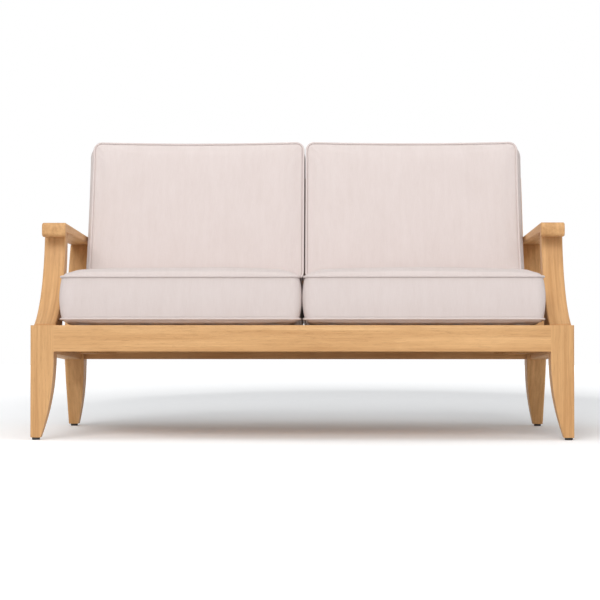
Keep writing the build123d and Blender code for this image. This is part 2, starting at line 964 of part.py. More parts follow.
def cushion_body(plane, outline_at, seams, crowns, bulges):
    """Two crowned sections, carried across each other: what lies inside both.

    The section in across has the higher crown, so the other one sets the height."""
    low_outline, high_outline = [outline_at(level) for level in seams]
    left, right, near, far = low_outline
    lifted = [rise * cross_crown_share for rise in crowns]
    across = cushion_section((left, right), (left, right), seams, lifted, bulges[:2])
    along = cushion_section((near, far), (high_outline[2], far), seams, crowns, bulges[2:])
    lengthways = extrude(Plane.XZ.offset(-(near + far) / 2) * across,
                         (far - near) / 2 + trim_reach, both=True)
    crossways = extrude(Plane.YZ.offset((left + right) / 2) * along,
                        (right - left) / 2 + trim_reach, both=True)
    return plane * (lengthways & crossways)


def corner_points(centre, radius, way, turn=0):
    """Points of a right-hand corner, from the side to the end, drawn with flat facets.

    The way is 1 for an end at the far side and -1 for one at the near side."""
    steps = [turn + (math.pi / 2 - 2 * turn) * count / corner_facets
             for count in range(corner_facets + 1)]
    return [(centre[0] + radius * math.cos(angle), centre[1] + way * radius * math.sin(angle))
            for angle in steps]


def plan_walls(plane, outline_at, corner, seams, bulges, rear):
    """Walls round the plan of a cushion with two rounded corners, at its far side or
    at its near side. The other side lies out of the way."""
    low, high = seams[0] - trim_reach, seams[1] + trim_reach
    left, right, near, far = outline_at(low)
    near_step = outline_at(high)[2] - near
    left_bulge, right_bulge, near_bulge, far_bulge = bulges
    way = 1 if rear else -1
    end, end_bulge = (far, far_bulge) if rear else (near, near_bulge)
    away = end - way * (far - near + trim_reach)
    turn = math.radians(corner_turn)

    def run_in(bulge):
        return corner - corner * math.sin(turn) + (
            corner * (1 - math.cos(turn)) + bulge) / math.tan(turn)

    right_corner = corner_points((right - corner, end - way * corner), corner, way, turn)
    left_corner = corner_points((left + corner, end - way * corner), corner, way, turn)
    plan = make_face(Polyline(
        (left - left_bulge, away),
        (right + right_bulge, away),
        (right + right_bulge, end - way * run_in(right_bulge)),
        *right_corner,
        (right - run_in(end_bulge), end + way * end_bulge),
        (left + run_in(end_bulge), end + way * end_bulge),
        *[(2 * (left + corner) - across, run) for across, run in reversed(left_corner)],
        (left - left_bulge, end - way * run_in(left_bulge)),
        close=True))
    slant = Vector(0, 0 if rear else near_step, high - low)
    return plane * Pos(0, 0, low) * extrude(plan, slant.length, dir=slant.normalized())


def ring_outline(outline, corner, growth, level):
    """A closed outline round a seam, a step outside it, with faceted corners."""
    left, right, near, far = outline
    radius = corner + growth
    points = []
    for way, run in ((1, far - corner), (-1, near + corner)):
        quarter = corner_points((right - corner, run), radius, way)
        mirrored = [(left + right - across, along) for across, along in reversed(quarter)]
        half_round = quarter + mirrored
        points.extend(half_round if way > 0 else half_round[::-1])
    return Pos(0, 0, level) * make_face(Polyline(*points, close=True))


def piping_ring(plane, outline, corner, level):
    """A cord sewn along a seam, just proud of the cover: six-sided, with flat facets."""
    middle = piping_radius + soft_clearance
    rise = piping_radius * math.sin(math.pi / 3)

    def doubled(step):
        narrow, wide = middle + step * piping_radius / 2, middle + step * piping_radius
        slim = [ring_outline(outline, corner, narrow, level + lift)
                for lift in (-rise, rise)]
        full = ring_outline(outline, corner, wide, level)
        return (loft([slim[0], full], ruled=True) + loft([full, slim[1]], ruled=True))

    return plane * (doubled(1) - doubled(-1))


def seat_outline(level):
    """Outline of the right-hand seat cushion's seams, in the deck plane, at any level."""
    stand_off = 2 * piping_radius + soft_clearance
    return (seat_middle_gap + stand_off,
            half_width - post_width - seat_side_gap - stand_off,
            deck_run(seat_cushion_front) + stand_off,
            deck_run(rear_rail_front + seat_cushion_overhang) - stand_off)


def seat_seams():
    """Levels of the lower and upper seams of a seat cushion above the deck."""
    low = seat_bottom_crown + soft_clearance
    return low, low + seat_boxing


def back_seams():
    """Levels of the rear and front seams of a back cushion in front of the back frame."""
    low = back_rear_crown + soft_clearance
    return low, low + back_boxing


def seat_top_level():
    """Level of the seat cushions' highest point above the deck."""
    return seat_seams()[1] + seat_top_crown


def back_outline(level):
    """Outline of the right-hand back cushion's seams, in the back plane.

    The lower side is sheared so that it lies parallel to the deck, just clear of the
    seat cushion that it rests on."""
    stand_off = 2 * piping_radius + soft_clearance
    rest_height = deck_height(back_plane_depth) + seat_top_level() / math.cos(slope_angle)
    shear = math.cos(recline_angle) * math.tan(slope_angle) - math.sin(recline_angle)
    spread = math.cos(recline_angle) + math.sin(recline_angle) * math.tan(slope_angle)
    near = (rest_height - back_plane_height + level * shear) / spread + stand_off
    front_rise = back_seams()[1] * math.sin(recline_angle)
    far = (back_cushion_top - back_plane_height - front_rise) / math.cos(recline_angle)
    outer = rear_leg_inner - back_side_gap - stand_off
    return (back_middle_gap + stand_off, outer, near, far)


def filling(plane, outline_at, corner, seams, growth=0):
    """The foam block inside the wadding or, grown by its clearance, the hollow for it."""
    ends = [ring_outline(outline_at(level), corner, growth - wadding, level)
            for level in (seams[0] - growth, seams[1] + growth)]
    return plane * loft(ends, ruled=True)


def filled_cushion(plane, outline_at, corner, seams, bulges, crowns):
    """Cover with its wadding, foam and piping of a boxed cushion that rests on the plane.

    The crown on the resting side is cut flat, where the cushion's weight flattens it."""
    under, over = crowns
    cover = cushion_body(plane, outline_at, seams, (under + rest_flattening, over), bulges)
    for rear in (True, False):
        cover &= plan_walls(plane, outline_at, corner + corner_ease, seams, bulges, rear)
    cover &= block(plane, (-overall_width, -overall_width, soft_clearance),
                   (overall_width, overall_width, overall_width))
    cover -= filling(plane, outline_at, corner, seams, core_clearance)
    core = filling(plane, outline_at, corner, seams)
    rings = [piping_ring(plane, outline_at(level), corner, level) for level in seams]
    return cover, core, Compound(children=rings)


def seat_cushion():
    """The right-hand seat cushion, with its zip at the rear."""
    bulge = seat_boxing_bulge
    cover, core, piping = filled_cushion(
        deck, seat_outline, seat_corner_radius, seat_seams(),
        (bulge, bulge, bulge, bulge), (seat_bottom_crown, seat_top_crown))
    level = sum(seat_seams()) / 2
    left, right, _, far = seat_outline(level)
    face = Plane(origin=deck.from_local_coords(((left + right) / 2, far + bulge, level)),
                 x_dir=(1, 0, 0), z_dir=deck.y_dir)
    return zipped(cover, face, right - left) + (core, piping)


def back_cushion():
    """The right-hand back cushion, with its zip underneath."""
    cover, core, piping = filled_cushion(
        back, back_outline, back_corner_radius, back_seams(),
        (back_inner_bulge, back_boxing_bulge, 0, back_top_bulge),
        (back_rear_crown, back_front_crown))
    level = sum(back_seams()) / 2
    left, right, near, _ = back_outline(level)
    face = Plane(origin=back.from_local_coords(((left + right) / 2, near, level)),
                 x_dir=(1, 0, 0), z_dir=-deck.z_dir)
    return zipped(cover, face, right - left) + (core, piping)


# Zips, in a plane that touches the boxing: x along the zip, z out of the cushion

def zipped(cover, face, width):
    """The cover with its shallow seat for the zip, the zip and its slider."""
    half = width / 2 - zip_inset
    seat = block(face, (-half - board_clearance, -zip_tape_width / 2 - board_clearance,
                        -zip_recess),
                 (half + board_clearance, zip_tape_width / 2 + board_clearance, overrun))
    return cover - seat, zip_strip(face, half), zip_slider(face, half)


def zip_strip(face, half):
    """Tape of a zip with its row of teeth as a rib along the middle."""
    floor = -zip_recess
    tape = block(face, (-half, -zip_tape_width / 2, floor),
                 (half, zip_tape_width / 2, floor + zip_tape_thickness))
    teeth = block(face, (-half, -zip_teeth_width / 2, floor + zip_tape_thickness),
                  (half, zip_teeth_width / 2, floor + zip_tape_thickness + zip_teeth_height))
    return tape + teeth


def zip_slider(face, half):
    """Slider astride the teeth, with its pull tab lying along the zip."""
    base = zip_tape_thickness - zip_recess + slider_clearance
    top = base + slider_height
    start = zip_end - half
    body = block(face, (start, -slider_width / 2, base),
                 (start + slider_length, slider_width / 2, top))
    upright = body.edges().filter_by(Axis(face.origin, face.z_dir))
    body = chamfer(upright, slider_corner_break)
    channel = block(face, (start - overrun, -zip_teeth_width / 2 - slider_clearance,
                           base - overrun),
                    (start + slider_length + overrun,
                     zip_teeth_width / 2 + slider_clearance,
                     base + zip_teeth_height))
    tab = block(face, (start + slider_length / 2, -slider_tab_width / 2, top),
                (start + slider_length / 2 + slider_tab_length, slider_tab_width / 2,
                 top + slider_tab_thickness))
    return body - channel + tab


def write(pieces):
    """Moves every piece to the part's own origin and writes it under its name."""
    os.makedirs("parts", exist_ok=True)
    for name, piece in pieces.items():
        export_step(Pos(0, -overall_depth / 2, 0) * piece, "parts/" + name + ".step")


def pair(pieces, name, solid):
    """Adds a right-hand piece and its left-hand mirror image."""
    right, left = both_sides(solid)
    pieces[name + "_right"] = right
    pieces[name + "_left"] = left


parts = {}
pair(parts, "front_leg", front_leg())
pair(parts, "rear_leg", rear_leg())
pair(parts, "side_rail", side_rail())
pair(parts, "arm_post", arm_post())
pair(parts, "armrest", armrest())
pair(parts, "back_stile", back_stile())
parts["front_rail"] = front_rail()
parts["rear_rail"] = rear_rail()
parts["seat_slats"] = seat_slats()
parts["slat_cleat_front"] = slat_cleat(False)
parts["slat_cleat_rear"] = slat_cleat(True)
parts["seat_bearer"] = seat_bearer()
parts["corner_blocks"] = corner_blocks()
parts["back_top_rail"] = back_rail("top")
parts["back_bottom_rail"] = back_rail("bottom")
parts["back_slats"] = back_slats()
parts["foot_glides"] = foot_glides()
parts["arm_dowels"] = arm_dowels()
parts["tenon_pins"] = tenon_pins()
parts["back_bolts"] = back_bolts()
parts["barrel_nuts"] = barrel_nuts()
parts["slat_screws"] = slat_screws()
for kind, pieces in (("seat_cushion", seat_cushion()), ("back_cushion", back_cushion())):
    for name, solid in zip(("cover", "zip", "zip_slider", "core", "piping"), pieces):
        pair(parts, kind + "_" + name, solid)
write(parts)
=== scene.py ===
import math

import bpy
import numpy as np
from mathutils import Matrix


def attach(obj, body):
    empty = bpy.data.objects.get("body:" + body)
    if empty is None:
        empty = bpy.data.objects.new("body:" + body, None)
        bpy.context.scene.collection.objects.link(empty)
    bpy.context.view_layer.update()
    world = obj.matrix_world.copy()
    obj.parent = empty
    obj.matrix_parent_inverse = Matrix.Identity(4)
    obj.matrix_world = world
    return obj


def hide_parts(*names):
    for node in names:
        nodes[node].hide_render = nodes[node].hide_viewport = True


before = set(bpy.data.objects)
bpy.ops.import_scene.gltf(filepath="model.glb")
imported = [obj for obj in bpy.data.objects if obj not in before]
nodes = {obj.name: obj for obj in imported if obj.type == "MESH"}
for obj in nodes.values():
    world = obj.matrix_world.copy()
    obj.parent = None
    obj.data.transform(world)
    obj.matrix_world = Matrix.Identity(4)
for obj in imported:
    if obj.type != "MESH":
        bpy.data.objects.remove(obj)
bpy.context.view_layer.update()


# Teak frame: legs, rails, posts, armrests and what carries the seat, all planed teak,
# rubbed down and oiled to a satin finish, and joined with tenons, pins and dowels. Every
# piece keeps its solid and gets grain along its length, which bends where the piece does.

def calc(tree, operation, first, second=None, third=None):
    """A Math node in a tree; its operands are sockets or numbers."""
    node = tree.nodes.new("ShaderNodeMath")
    node.operation = operation
    for socket, value in zip(node.inputs, (first, second, third)):
        if isinstance(value, bpy.types.NodeSocket):
            tree.links.new(value, socket)
        elif value is not None:
            socket.default_value = value
    return node.outputs[0]


def flat_length(tree, first, second):
    """The length of a flat vector: the root of the sum of both parts squared."""
    return calc(tree, "SQRT", calc(tree, "ADD", calc(tree, "POWER", first, 2.0),
                                   calc(tree, "POWER", second, 2.0)))


def split(tree, vector):
    """The three parts of a vector."""
    node = tree.nodes.new("ShaderNodeSeparateXYZ")
    tree.links.new(vector, node.inputs[0])
    return node.outputs


def joined(tree, *parts):
    """A vector from three sockets or numbers."""
    node = tree.nodes.new("ShaderNodeCombineXYZ")
    for socket, value in zip(node.inputs, parts):
        if isinstance(value, bpy.types.NodeSocket):
            tree.links.new(value, socket)
        else:
            socket.default_value = value
    return node.outputs[0]


def stretched(tree, vector, factors):
    """A vector with each part multiplied by its own factor."""
    node = tree.nodes.new("ShaderNodeVectorMath")
    node.operation = "MULTIPLY"
    tree.links.new(vector, node.inputs[0])
    node.inputs[1].default_value = factors
    return node.outputs[0]


def cloud(tree, vector, detail=3.0, roughness=0.55):
    """Fractal noise from 0 to 1 with features about one unit of the vector wide."""
    node = tree.nodes.new("ShaderNodeTexNoise")
    node.inputs["Scale"].default_value = 1.0
    node.inputs["Detail"].default_value = detail
    node.inputs["Roughness"].default_value = roughness
    tree.links.new(vector, node.inputs["Vector"])
    return node.outputs["Fac"]


def span(tree, value, low, high, to_low=0.0, to_high=1.0):
    """A value from low to high, mapped to another range and kept inside it."""
    node = tree.nodes.new("ShaderNodeMapRange")
    for name, number in (("From Min", low), ("From Max", high),
                         ("To Min", to_low), ("To Max", to_high)):
        node.inputs[name].default_value = number
    tree.links.new(value, node.inputs["Value"])
    return node.outputs["Result"]


def blended(tree, factor, first, second):
    """A colour between two others; each is a socket or a colour."""
    node = tree.nodes.new("ShaderNodeMix")
    node.data_type = "RGBA"
    tree.links.new(factor, node.inputs["Factor"])
    for name, value in (("A", first), ("B", second)):
        socket = [s for s in node.inputs if s.name == name and s.type == "RGBA"][0]
        if isinstance(value, bpy.types.NodeSocket):
            tree.links.new(value, socket)
        else:
            socket.default_value = value
    return [s for s in node.outputs if s.type == "RGBA"][0]


def new_group(name, inputs, outputs):
    """A shader node group with typed sockets; returns it with its two end nodes."""
    group = bpy.data.node_groups.new(name, "ShaderNodeTree")
    for label, kind in inputs:
        group.interface.new_socket(label, in_out="INPUT", socket_type="NodeSocket" + kind)
    for label, kind in outputs:
        group.interface.new_socket(label, in_out="OUTPUT", socket_type="NodeSocket" + kind)
    return (group, group.nodes.new("NodeGroupInput").outputs,
            group.nodes.new("NodeGroupOutput").inputs)


def teak_grain_group():
    """Teak in three dimensions: uneven growth rings round a pith that lies off the board,
    broad and narrow streaks, fine fibres, open pores and slow changes of tone. The first
    axis of Grain is the grain, and Board moves the pattern on, so that boards differ.

    A ring's number is rings_per_metre times the distance from the pith, which a slow
    noise shifts. The third axis counts for less than the second: the rings are ovals."""
    board_steps = (2.9, 0.37, 0.53)
    pith_aside, pith_below, pith_squash = 0.13, 0.05, 0.2
    ring_wander, rings_per_metre = 0.045, 155.0
    ring_share, pore_share = 0.18, 0.30
    group, given, out = new_group(
        "teak grain",
        [("Grain", "Vector"), ("Board", "Float"), ("Light", "Color"), ("Dark", "Color"),
         ("Pore", "Color")],
        [("Color", "Color"), ("Roughness", "Float"), ("Height", "Float")])
    moved = group.nodes.new("ShaderNodeVectorMath")
    group.links.new(given["Grain"], moved.inputs[0])
    group.links.new(joined(group, *(calc(group, "MULTIPLY", given["Board"], step)
                                    for step in board_steps)), moved.inputs[1])
    place = moved.outputs[0]

    def drawn_out(lengthwise, crosswise, detail, roughness=0.55):
        """Noise with so many features a metre along the grain and across it."""
        factors = (lengthwise, crosswise, crosswise)
        return cloud(group, stretched(group, place, factors), detail, roughness)

    warp = drawn_out(1.6, 7.0, 2.0)
    fibre = drawn_out(14.0, 520.0, 4.0, 0.65)
    streak = drawn_out(2.6, 130.0, 3.0)
    broad = drawn_out(1.3, 46.0, 2.0)
    tone = drawn_out(1.5, 13.0, 2.0)
    pores = span(group, drawn_out(34.0, 1300.0, 2.0), 0.60, 0.72)
    _, side, deep = split(group, place)
    from_pith = flat_length(group, calc(group, "ADD", side, pith_aside),
                            calc(group, "MULTIPLY_ADD", deep, pith_squash, pith_below))
    ring_run = calc(group, "MULTIPLY_ADD", warp, ring_wander, from_pith)
    rings = cloud(group, joined(group, calc(group, "MULTIPLY", ring_run, rings_per_metre),
                                0.0, 0.0), 2.0)
    mixed = calc(group, "MULTIPLY", span(group, rings, 0.35, 0.65), ring_share)
    for layer, share in ((streak, 0.26), (broad, 0.26), (fibre, 0.12), (tone, 0.18)):
        mixed = calc(group, "MULTIPLY_ADD", span(group, layer, 0.36, 0.64), share, mixed)
    wood = blended(group, mixed, given["Light"], given["Dark"])
    pored = calc(group, "MULTIPLY", pores, pore_share)
    group.links.new(blended(group, pored, wood, given["Pore"]), out["Color"])
    group.links.new(span(group, fibre, 0.3, 0.7, 0.44, 0.58), out["Roughness"])
    relief = calc(group, "SUBTRACT", calc(group, "MULTIPLY", fibre, 0.6),
                  calc(group, "MULTIPLY", pores, 0.8))
    group.links.new(relief, out["Height"])
    return group


teak_group = teak_grain_group()
teak_colours = {"Light": (0.810, 0.486, 0.222, 1.0), "Dark": (0.452, 0.214, 0.070, 1.0),
                "Pore": (0.26, 0.13, 0.05, 1.0)}


def new_material(name, roughness, specular=0.5, metallic=0.0):
    """A material with its Principled shader; returns it, its tree and the shader."""
    material = bpy.data.materials.new(name)
    material.use_nodes = True
    shader = material.node_tree.nodes["Principled BSDF"]
    shader.inputs["Roughness"].default_value = roughness
    shader.inputs["Specular IOR Level"].default_value = specular
    shader.inputs["Metallic"].default_value = metallic
    return material, material.node_tree, shader


def bump(tree, shader, height, distance):
    """Relief of a real depth, fed to the shader's normal."""
    node = tree.nodes.new("ShaderNodeBump")
    node.inputs["Distance"].default_value = distance
    node.inputs["Strength"].default_value = 1.0
    tree.links.new(height, node.inputs["Height"])
    tree.links.new(node.outputs[0], shader.inputs["Normal"])


def unrolled(tree, back, up, bend):
    """Depth and height measured from a circle: the distance outside it, and the way
    along it, which is its radius times the angle above its centre."""
    centre_back, centre_up, radius = bend
    reach = calc(tree, "SUBTRACT", back, centre_back)
    lift = calc(tree, "SUBTRACT", up, centre_up)
    outside = calc(tree, "SUBTRACT", flat_length(tree, reach, lift), radius)
    angle = calc(tree, "ARCTAN2", lift, calc(tree, "ABSOLUTE", reach))
    return outside, calc(tree, "MULTIPLY", angle, radius)


def board_number(tree, across, first, pitch, seed):
    """A number that is the same all over a board and differs from board to board."""
    place = calc(tree, "FLOOR", calc(
        tree, "DIVIDE", calc(tree, "SUBTRACT", across, first - pitch / 2), pitch))
    chance = tree.nodes.new("ShaderNodeTexWhiteNoise")
    chance.noise_dimensions = "1D"
    tree.links.new(place, chance.inputs["W"])
    return calc(tree, "MULTIPLY_ADD", chance.outputs["Value"], 3.0, seed)


def teak(name, run, seed, tilt=0.0, boards=None, bend=None):
    """Teak with its grain along X, Y or Z, or along Z tilted backwards about X.
    boards is (first centre, pitch) in X of a row of boards that each differ. bend is
    (centre Y, centre Z, radius) of a curved piece, whose grain follows the curve."""
    material, tree, shader = new_material("teak " + name, 0.5, 0.35)
    position = tree.nodes.new("ShaderNodeTexCoord").outputs["Object"]
    if tilt:
        turned = tree.nodes.new("ShaderNodeMapping")
        turned.inputs["Rotation"].default_value = (tilt, 0.0, 0.0)
        tree.links.new(position, turned.inputs["Vector"])
        position = turned.outputs[0]
    across, back, up = split(tree, position)
    if bend:
        back, up = unrolled(tree, back, up, bend)
    order = {"x": (across, back, up), "y": (back, across, up), "z": (up, across, back)}[run]
    grain = tree.nodes.new("ShaderNodeGroup")
    grain.node_tree = teak_group
    tree.links.new(joined(tree, *order), grain.inputs["Grain"])
    if boards:
        tree.links.new(board_number(tree, across, *boards, seed), grain.inputs["Board"])
    else:
        grain.inputs["Board"].default_value = seed
    for socket, colour in teak_colours.items():
        grain.inputs[socket].default_value = colour
    tree.links.new(grain.outputs["Color"], shader.inputs["Base Color"])
    tree.links.new(grain.outputs["Roughness"], shader.inputs["Roughness"])
    bump(tree, shader, grain.outputs["Height"], 0.00035)
    return material


def finish_with(material, *names):
    """Puts a material on CAD nodes."""
    for name in names:
        for slot in nodes[name].material_slots:
            slot.material = material


first_board, board_step = 0.31, 0.618
bends = {"rear_leg": (0.686, 0.259, 0.409), "arm_post": (-0.491, 0.609, 0.333)}
for number, (name, run) in enumerate([
        ("front_leg_left", "z"), ("front_leg_right", "z"), ("rear_leg_left", "z"),
        ("rear_leg_right", "z"), ("arm_post_left", "z"), ("arm_post_right", "z"),
        ("armrest_left", "y"), ("armrest_right", "y"), ("side_rail_left", "y"),
        ("side_rail_right", "y"), ("front_rail", "x"), ("rear_rail", "x"),
        ("slat_cleat_front", "x"), ("slat_cleat_rear", "x"), ("seat_bearer", "x"),
        ("back_top_rail", "x"), ("back_bottom_rail", "x"), ("corner_blocks", "x")]):
    finish_with(teak(name.replace("_", " "), run, first_board + board_step * number,
                     bend=bends.get(name.rsplit("_", 1)[0])), name)


# Seat slats: sixteen planed teak boards that run from front to rear, laid on the cleats
# and the bearer and screwed down. Each board has a grain of its own.

seat_slat_count, seat_slat_reach = 16, 0.65
seat_slat_pitch = 2 * seat_slat_reach / (seat_slat_count - 1)
finish_with(teak("seat slats", "y", 0.2, boards=(-seat_slat_reach, seat_slat_pitch)),
            "seat_slats")


# Back stiles and slats: two planed teak stiles, bolted to the inner faces of the rear
# legs, and between them thirteen upright slats whose ends are let into both back rails.
# They all lean back by the recline.

back_recline = math.radians(18.0)
for number, name in enumerate(("back_stile_left", "back_stile_right")):
    finish_with(teak(name.replace("_", " "), "z", 4.4 + number, tilt=back_recline), name)

back_slat_count, back_slat_width, back_opening = 13, 0.044, 1.284
back_slat_gap = (back_opening - back_slat_count * back_slat_width) / (back_slat_count + 1)
back_slat_pitch = back_slat_width + back_slat_gap
back_slat_first = -(back_slat_count - 1) / 2 * back_slat_pitch
finish_with(teak("back slats", "z", 0.7, tilt=back_recline,
                 boards=(back_slat_first, back_slat_pitch)), "back_slats")


# Dowels and tenon pins: turned hardwood pegs, glued into the frame, a shade paler than
# the teak round them.

def speckle(tree, per_metre, detail, roughness=0.55):
    """Even noise through a piece, with so many features a metre."""
    place = tree.nodes.new("ShaderNodeTexCoord").outputs["Object"]
    return cloud(tree, stretched(tree, place, (per_metre,) * 3), detail, roughness)


def peg_wood():
    """Pale hardwood with short streaks."""
    material, tree, shader = new_material("peg wood", 0.6, 0.3)
    streak = speckle(tree, 300.0, 3.0)
    tree.links.new(blended(tree, streak, (0.66, 0.47, 0.26, 1), (0.78, 0.60, 0.37, 1)),
                   shader.inputs["Base Color"])
    bump(tree, shader, streak, 0.0002)
    return material


finish_with(peg_wood(), "arm_dowels", "tenon_pins")


# Foot glides: black moulded plastic discs with a fine moulded texture, scuffed matt
# underneath, driven up into the feet by their stems.

def glide_plastic():
    """Black plastic with a fine texture, and with scuffs that are paler and rougher."""
    material, tree, shader = new_material("glide plastic", 0.5, 0.4)
    scuff = speckle(tree, 160.0, 4.0)
    tree.links.new(
        blended(tree, scuff, (0.012, 0.012, 0.013, 1), (0.035, 0.034, 0.033, 1)),
        shader.inputs["Base Color"])
    tree.links.new(span(tree, scuff, 0.3, 0.7, 0.4, 0.65), shader.inputs["Roughness"])
    bump(tree, shader, speckle(tree, 1400.0, 2.0), 0.0002)
    return material


finish_with(glide_plastic(), "foot_glides")


# Metal: zinc-plated steel bolts and barrel nuts, and brass slat screws, with fine
# machining marks and a little dull bloom.

def plated(name, bright, dull, roughness):
    """Metal with a cloudy bloom and fine scratches that run across the seat."""
    material, tree, shader = new_material(name, roughness, 0.5, 1.0)
    bloom = speckle(tree, 220.0, 4.0)
    place = tree.nodes.new("ShaderNodeTexCoord").outputs["Object"]
    marks = cloud(tree, stretched(tree, place, (900.0, 2600.0, 2600.0)), 2.0)
    tree.links.new(blended(tree, span(tree, bloom, 0.35, 0.7), bright, dull),
                   shader.inputs["Base Color"])
    tree.links.new(span(tree, bloom, 0.3, 0.7, roughness, roughness + 0.2),
                   shader.inputs["Roughness"])
    bump(tree, shader, marks, 0.00006)
    return material


finish_with(plated("zinc plated steel", (0.66, 0.66, 0.64, 1), (0.42, 0.43, 0.43, 1), 0.3),
            "back_bolts", "barrel_nuts")
finish_with(plated("brass", (0.80, 0.60, 0.28, 1), (0.52, 0.37, 0.16, 1), 0.3), "slat_screws")


# Seat cushions: boxed cushions in a heathered woven cover, filled with foam wrapped in
# wadding, with a self-covered cord sewn into each seam and a zip in the rear boxing.

seat_slope = math.radians(2.5)
deck_front, deck_front_height = -0.42, 0.316
deck_plane = ((0.0, deck_front, deck_front_height),
              (0.0, math.cos(seat_slope), -math.sin(seat_slope)),
              (0.0, math.sin(seat_slope), math.cos(seat_slope)))


def plane_point(origin, run_axis, level_axis, points):
    """Points given as (across, run, level) in a tilted plane, in the room's axes."""
    points = np.asarray(points, float)
    return (np.asarray(origin) + points[..., :1] * np.array((1.0, 0.0, 0.0))
            + points[..., 1:2] * np.asarray(run_axis)
            + points[..., 2:3] * np.asarray(level_axis))


def panel_grid(outline, corner, across, along, draw_in):
    """A flat panel as a grid that is finer at its edges, (across, along, 2).

    Both parameters run from 0 to 1 as p - sin(2 pi p) / (4 pi). The left, right, near
    and far sides are drawn in by parabolas between the corners, and inside each corner's
    square of side r a point (a, b) goes to (a sqrt(1 - b2 / 2), b sqrt(1 - a2 / 2)),
    which rounds the corner."""
    left, right, near, far = outline
    even_x, even_y = np.linspace(0, 1, across), np.linspace(0, 1, along)
    p = even_x - np.sin(math.tau * even_x) / (2 * math.tau)
    q = even_y - np.sin(math.tau * even_y) / (2 * math.tau)
    s, t = np.meshgrid(2 * p - 1, 2 * q - 1, indexing="ij")
    half_x, half_y = (right - left) / 2, (far - near) / 2
    x, y = s * half_x, t * half_y
    a = np.clip((np.abs(x) - (half_x - corner)) / corner, 0, 1)
    b = np.clip((np.abs(y) - (half_y - corner)) / corner, 0, 1)
    x = x + np.sign(x) * corner * a * (np.sqrt(1 - b * b / 2) - 1)
    y = y + np.sign(y) * corner * b * (np.sqrt(1 - a * a / 2) - 1)
    at_left, at_right, at_near, at_far = draw_in
    x = x - np.where(s > 0, at_right, at_left) * s * (1 - t * t)
    y = y - np.where(t > 0, at_far, at_near) * t * (1 - s * s)
    return np.stack([x + (left + right) / 2, y + (near + far) / 2], -1), s, t


def grid_faces(across, along):
    """The faces of a grid of points, anticlockwise seen from above."""
    grid = np.arange(across * along).reshape(across, along)
    quads = np.stack([grid[:-1, :-1], grid[1:, :-1], grid[1:, 1:], grid[:-1, 1:]], -1)
    return quads.reshape(-1, 4)


def ring_order(across, along):
    """Grid numbers of a panel's rim, anticlockwise seen from above."""
    grid = np.arange(across * along).reshape(across, along)
    return np.concatenate([grid[:-1, 0], grid[-1, :-1], grid[:0:-1, -1], grid[0, :0:-1]])


def run_of(loop):
    """The distance travelled round a closed loop, from its first point back to it."""
    steps = np.linalg.norm(np.roll(loop, -1, 0) - loop, axis=1)
    return np.concatenate([[0], np.cumsum(steps)])


def outward_of(loop):
    """Unit vectors that point out of a flat anticlockwise loop: at each point the chord
    between its neighbours, turned a quarter to the right."""
    chord = np.roll(loop, -1, 0) - np.roll(loop, 1, 0)
    outward = np.stack([chord[:, 1], -chord[:, 0]], -1)
    return outward / np.linalg.norm(outward, axis=1, keepdims=True)


def wrapped_map(run, height):
    """Cloth coordinates of the face corners of a band, by row and by place along it:
    the distance along the band and the distance up it."""
    u = np.stack([run[:-1], run[1:], run[1:], run[:-1]], -1)[None, :, :]
    v = np.stack([height[:-1], height[:-1], height[1:], height[1:]], -1)[:, None, :]
    return np.stack(np.broadcast_arrays(u, v), -1)


def dome(s, t, fullness):
    """A crown from 0 at the rim to 1 in the middle: (1 - s2)^m (1 - t2)^n."""
    return np.clip(1 - s * s, 0, 1) ** fullness[0] * np.clip(1 - t * t, 0, 1) ** fullness[1]


def ripple(x, y, waves, seed):
    """Slow uneven swell from -1 to 1: a mean of sines in random directions."""
    chance = np.random.RandomState(seed)
    total = np.zeros_like(x)
    for length in waves:
        angle, phase = chance.uniform(0, math.tau, 2)
        total += np.sin((x * math.cos(angle) + y * math.sin(angle)) * math.tau / length + phase)
    return total / len(waves)


def boxing_wall(rim_low, rim_high, seams, bulges, rows):
    """The boxing between two seams, a ring of points to each row between them: straight
    from rim to rim, and pushed out by the bulge times sin(pi share)^0.8, where the bulge
    is that of the side which the wall faces."""
    low, high = seams
    left, right, near, far = bulges
    outward = outward_of((rim_low + rim_high) / 2)
    push = (outward[:, 0] ** 2 * np.where(outward[:, 0] < 0, left, right)
            + outward[:, 1] ** 2 * np.where(outward[:, 1] < 0, near, far))
    share = np.linspace(0, 1, rows + 1)[1:-1, None, None]
    wall = ((1 - share) * rim_low + share * rim_high
            + np.sin(math.pi * share) ** 0.8 * push[None, :, None] * outward)
    level = np.broadcast_to(low + share * (high - low), wall.shape[:2] + (1,))
    return np.concatenate([wall, level], -1).reshape(-1, 3)


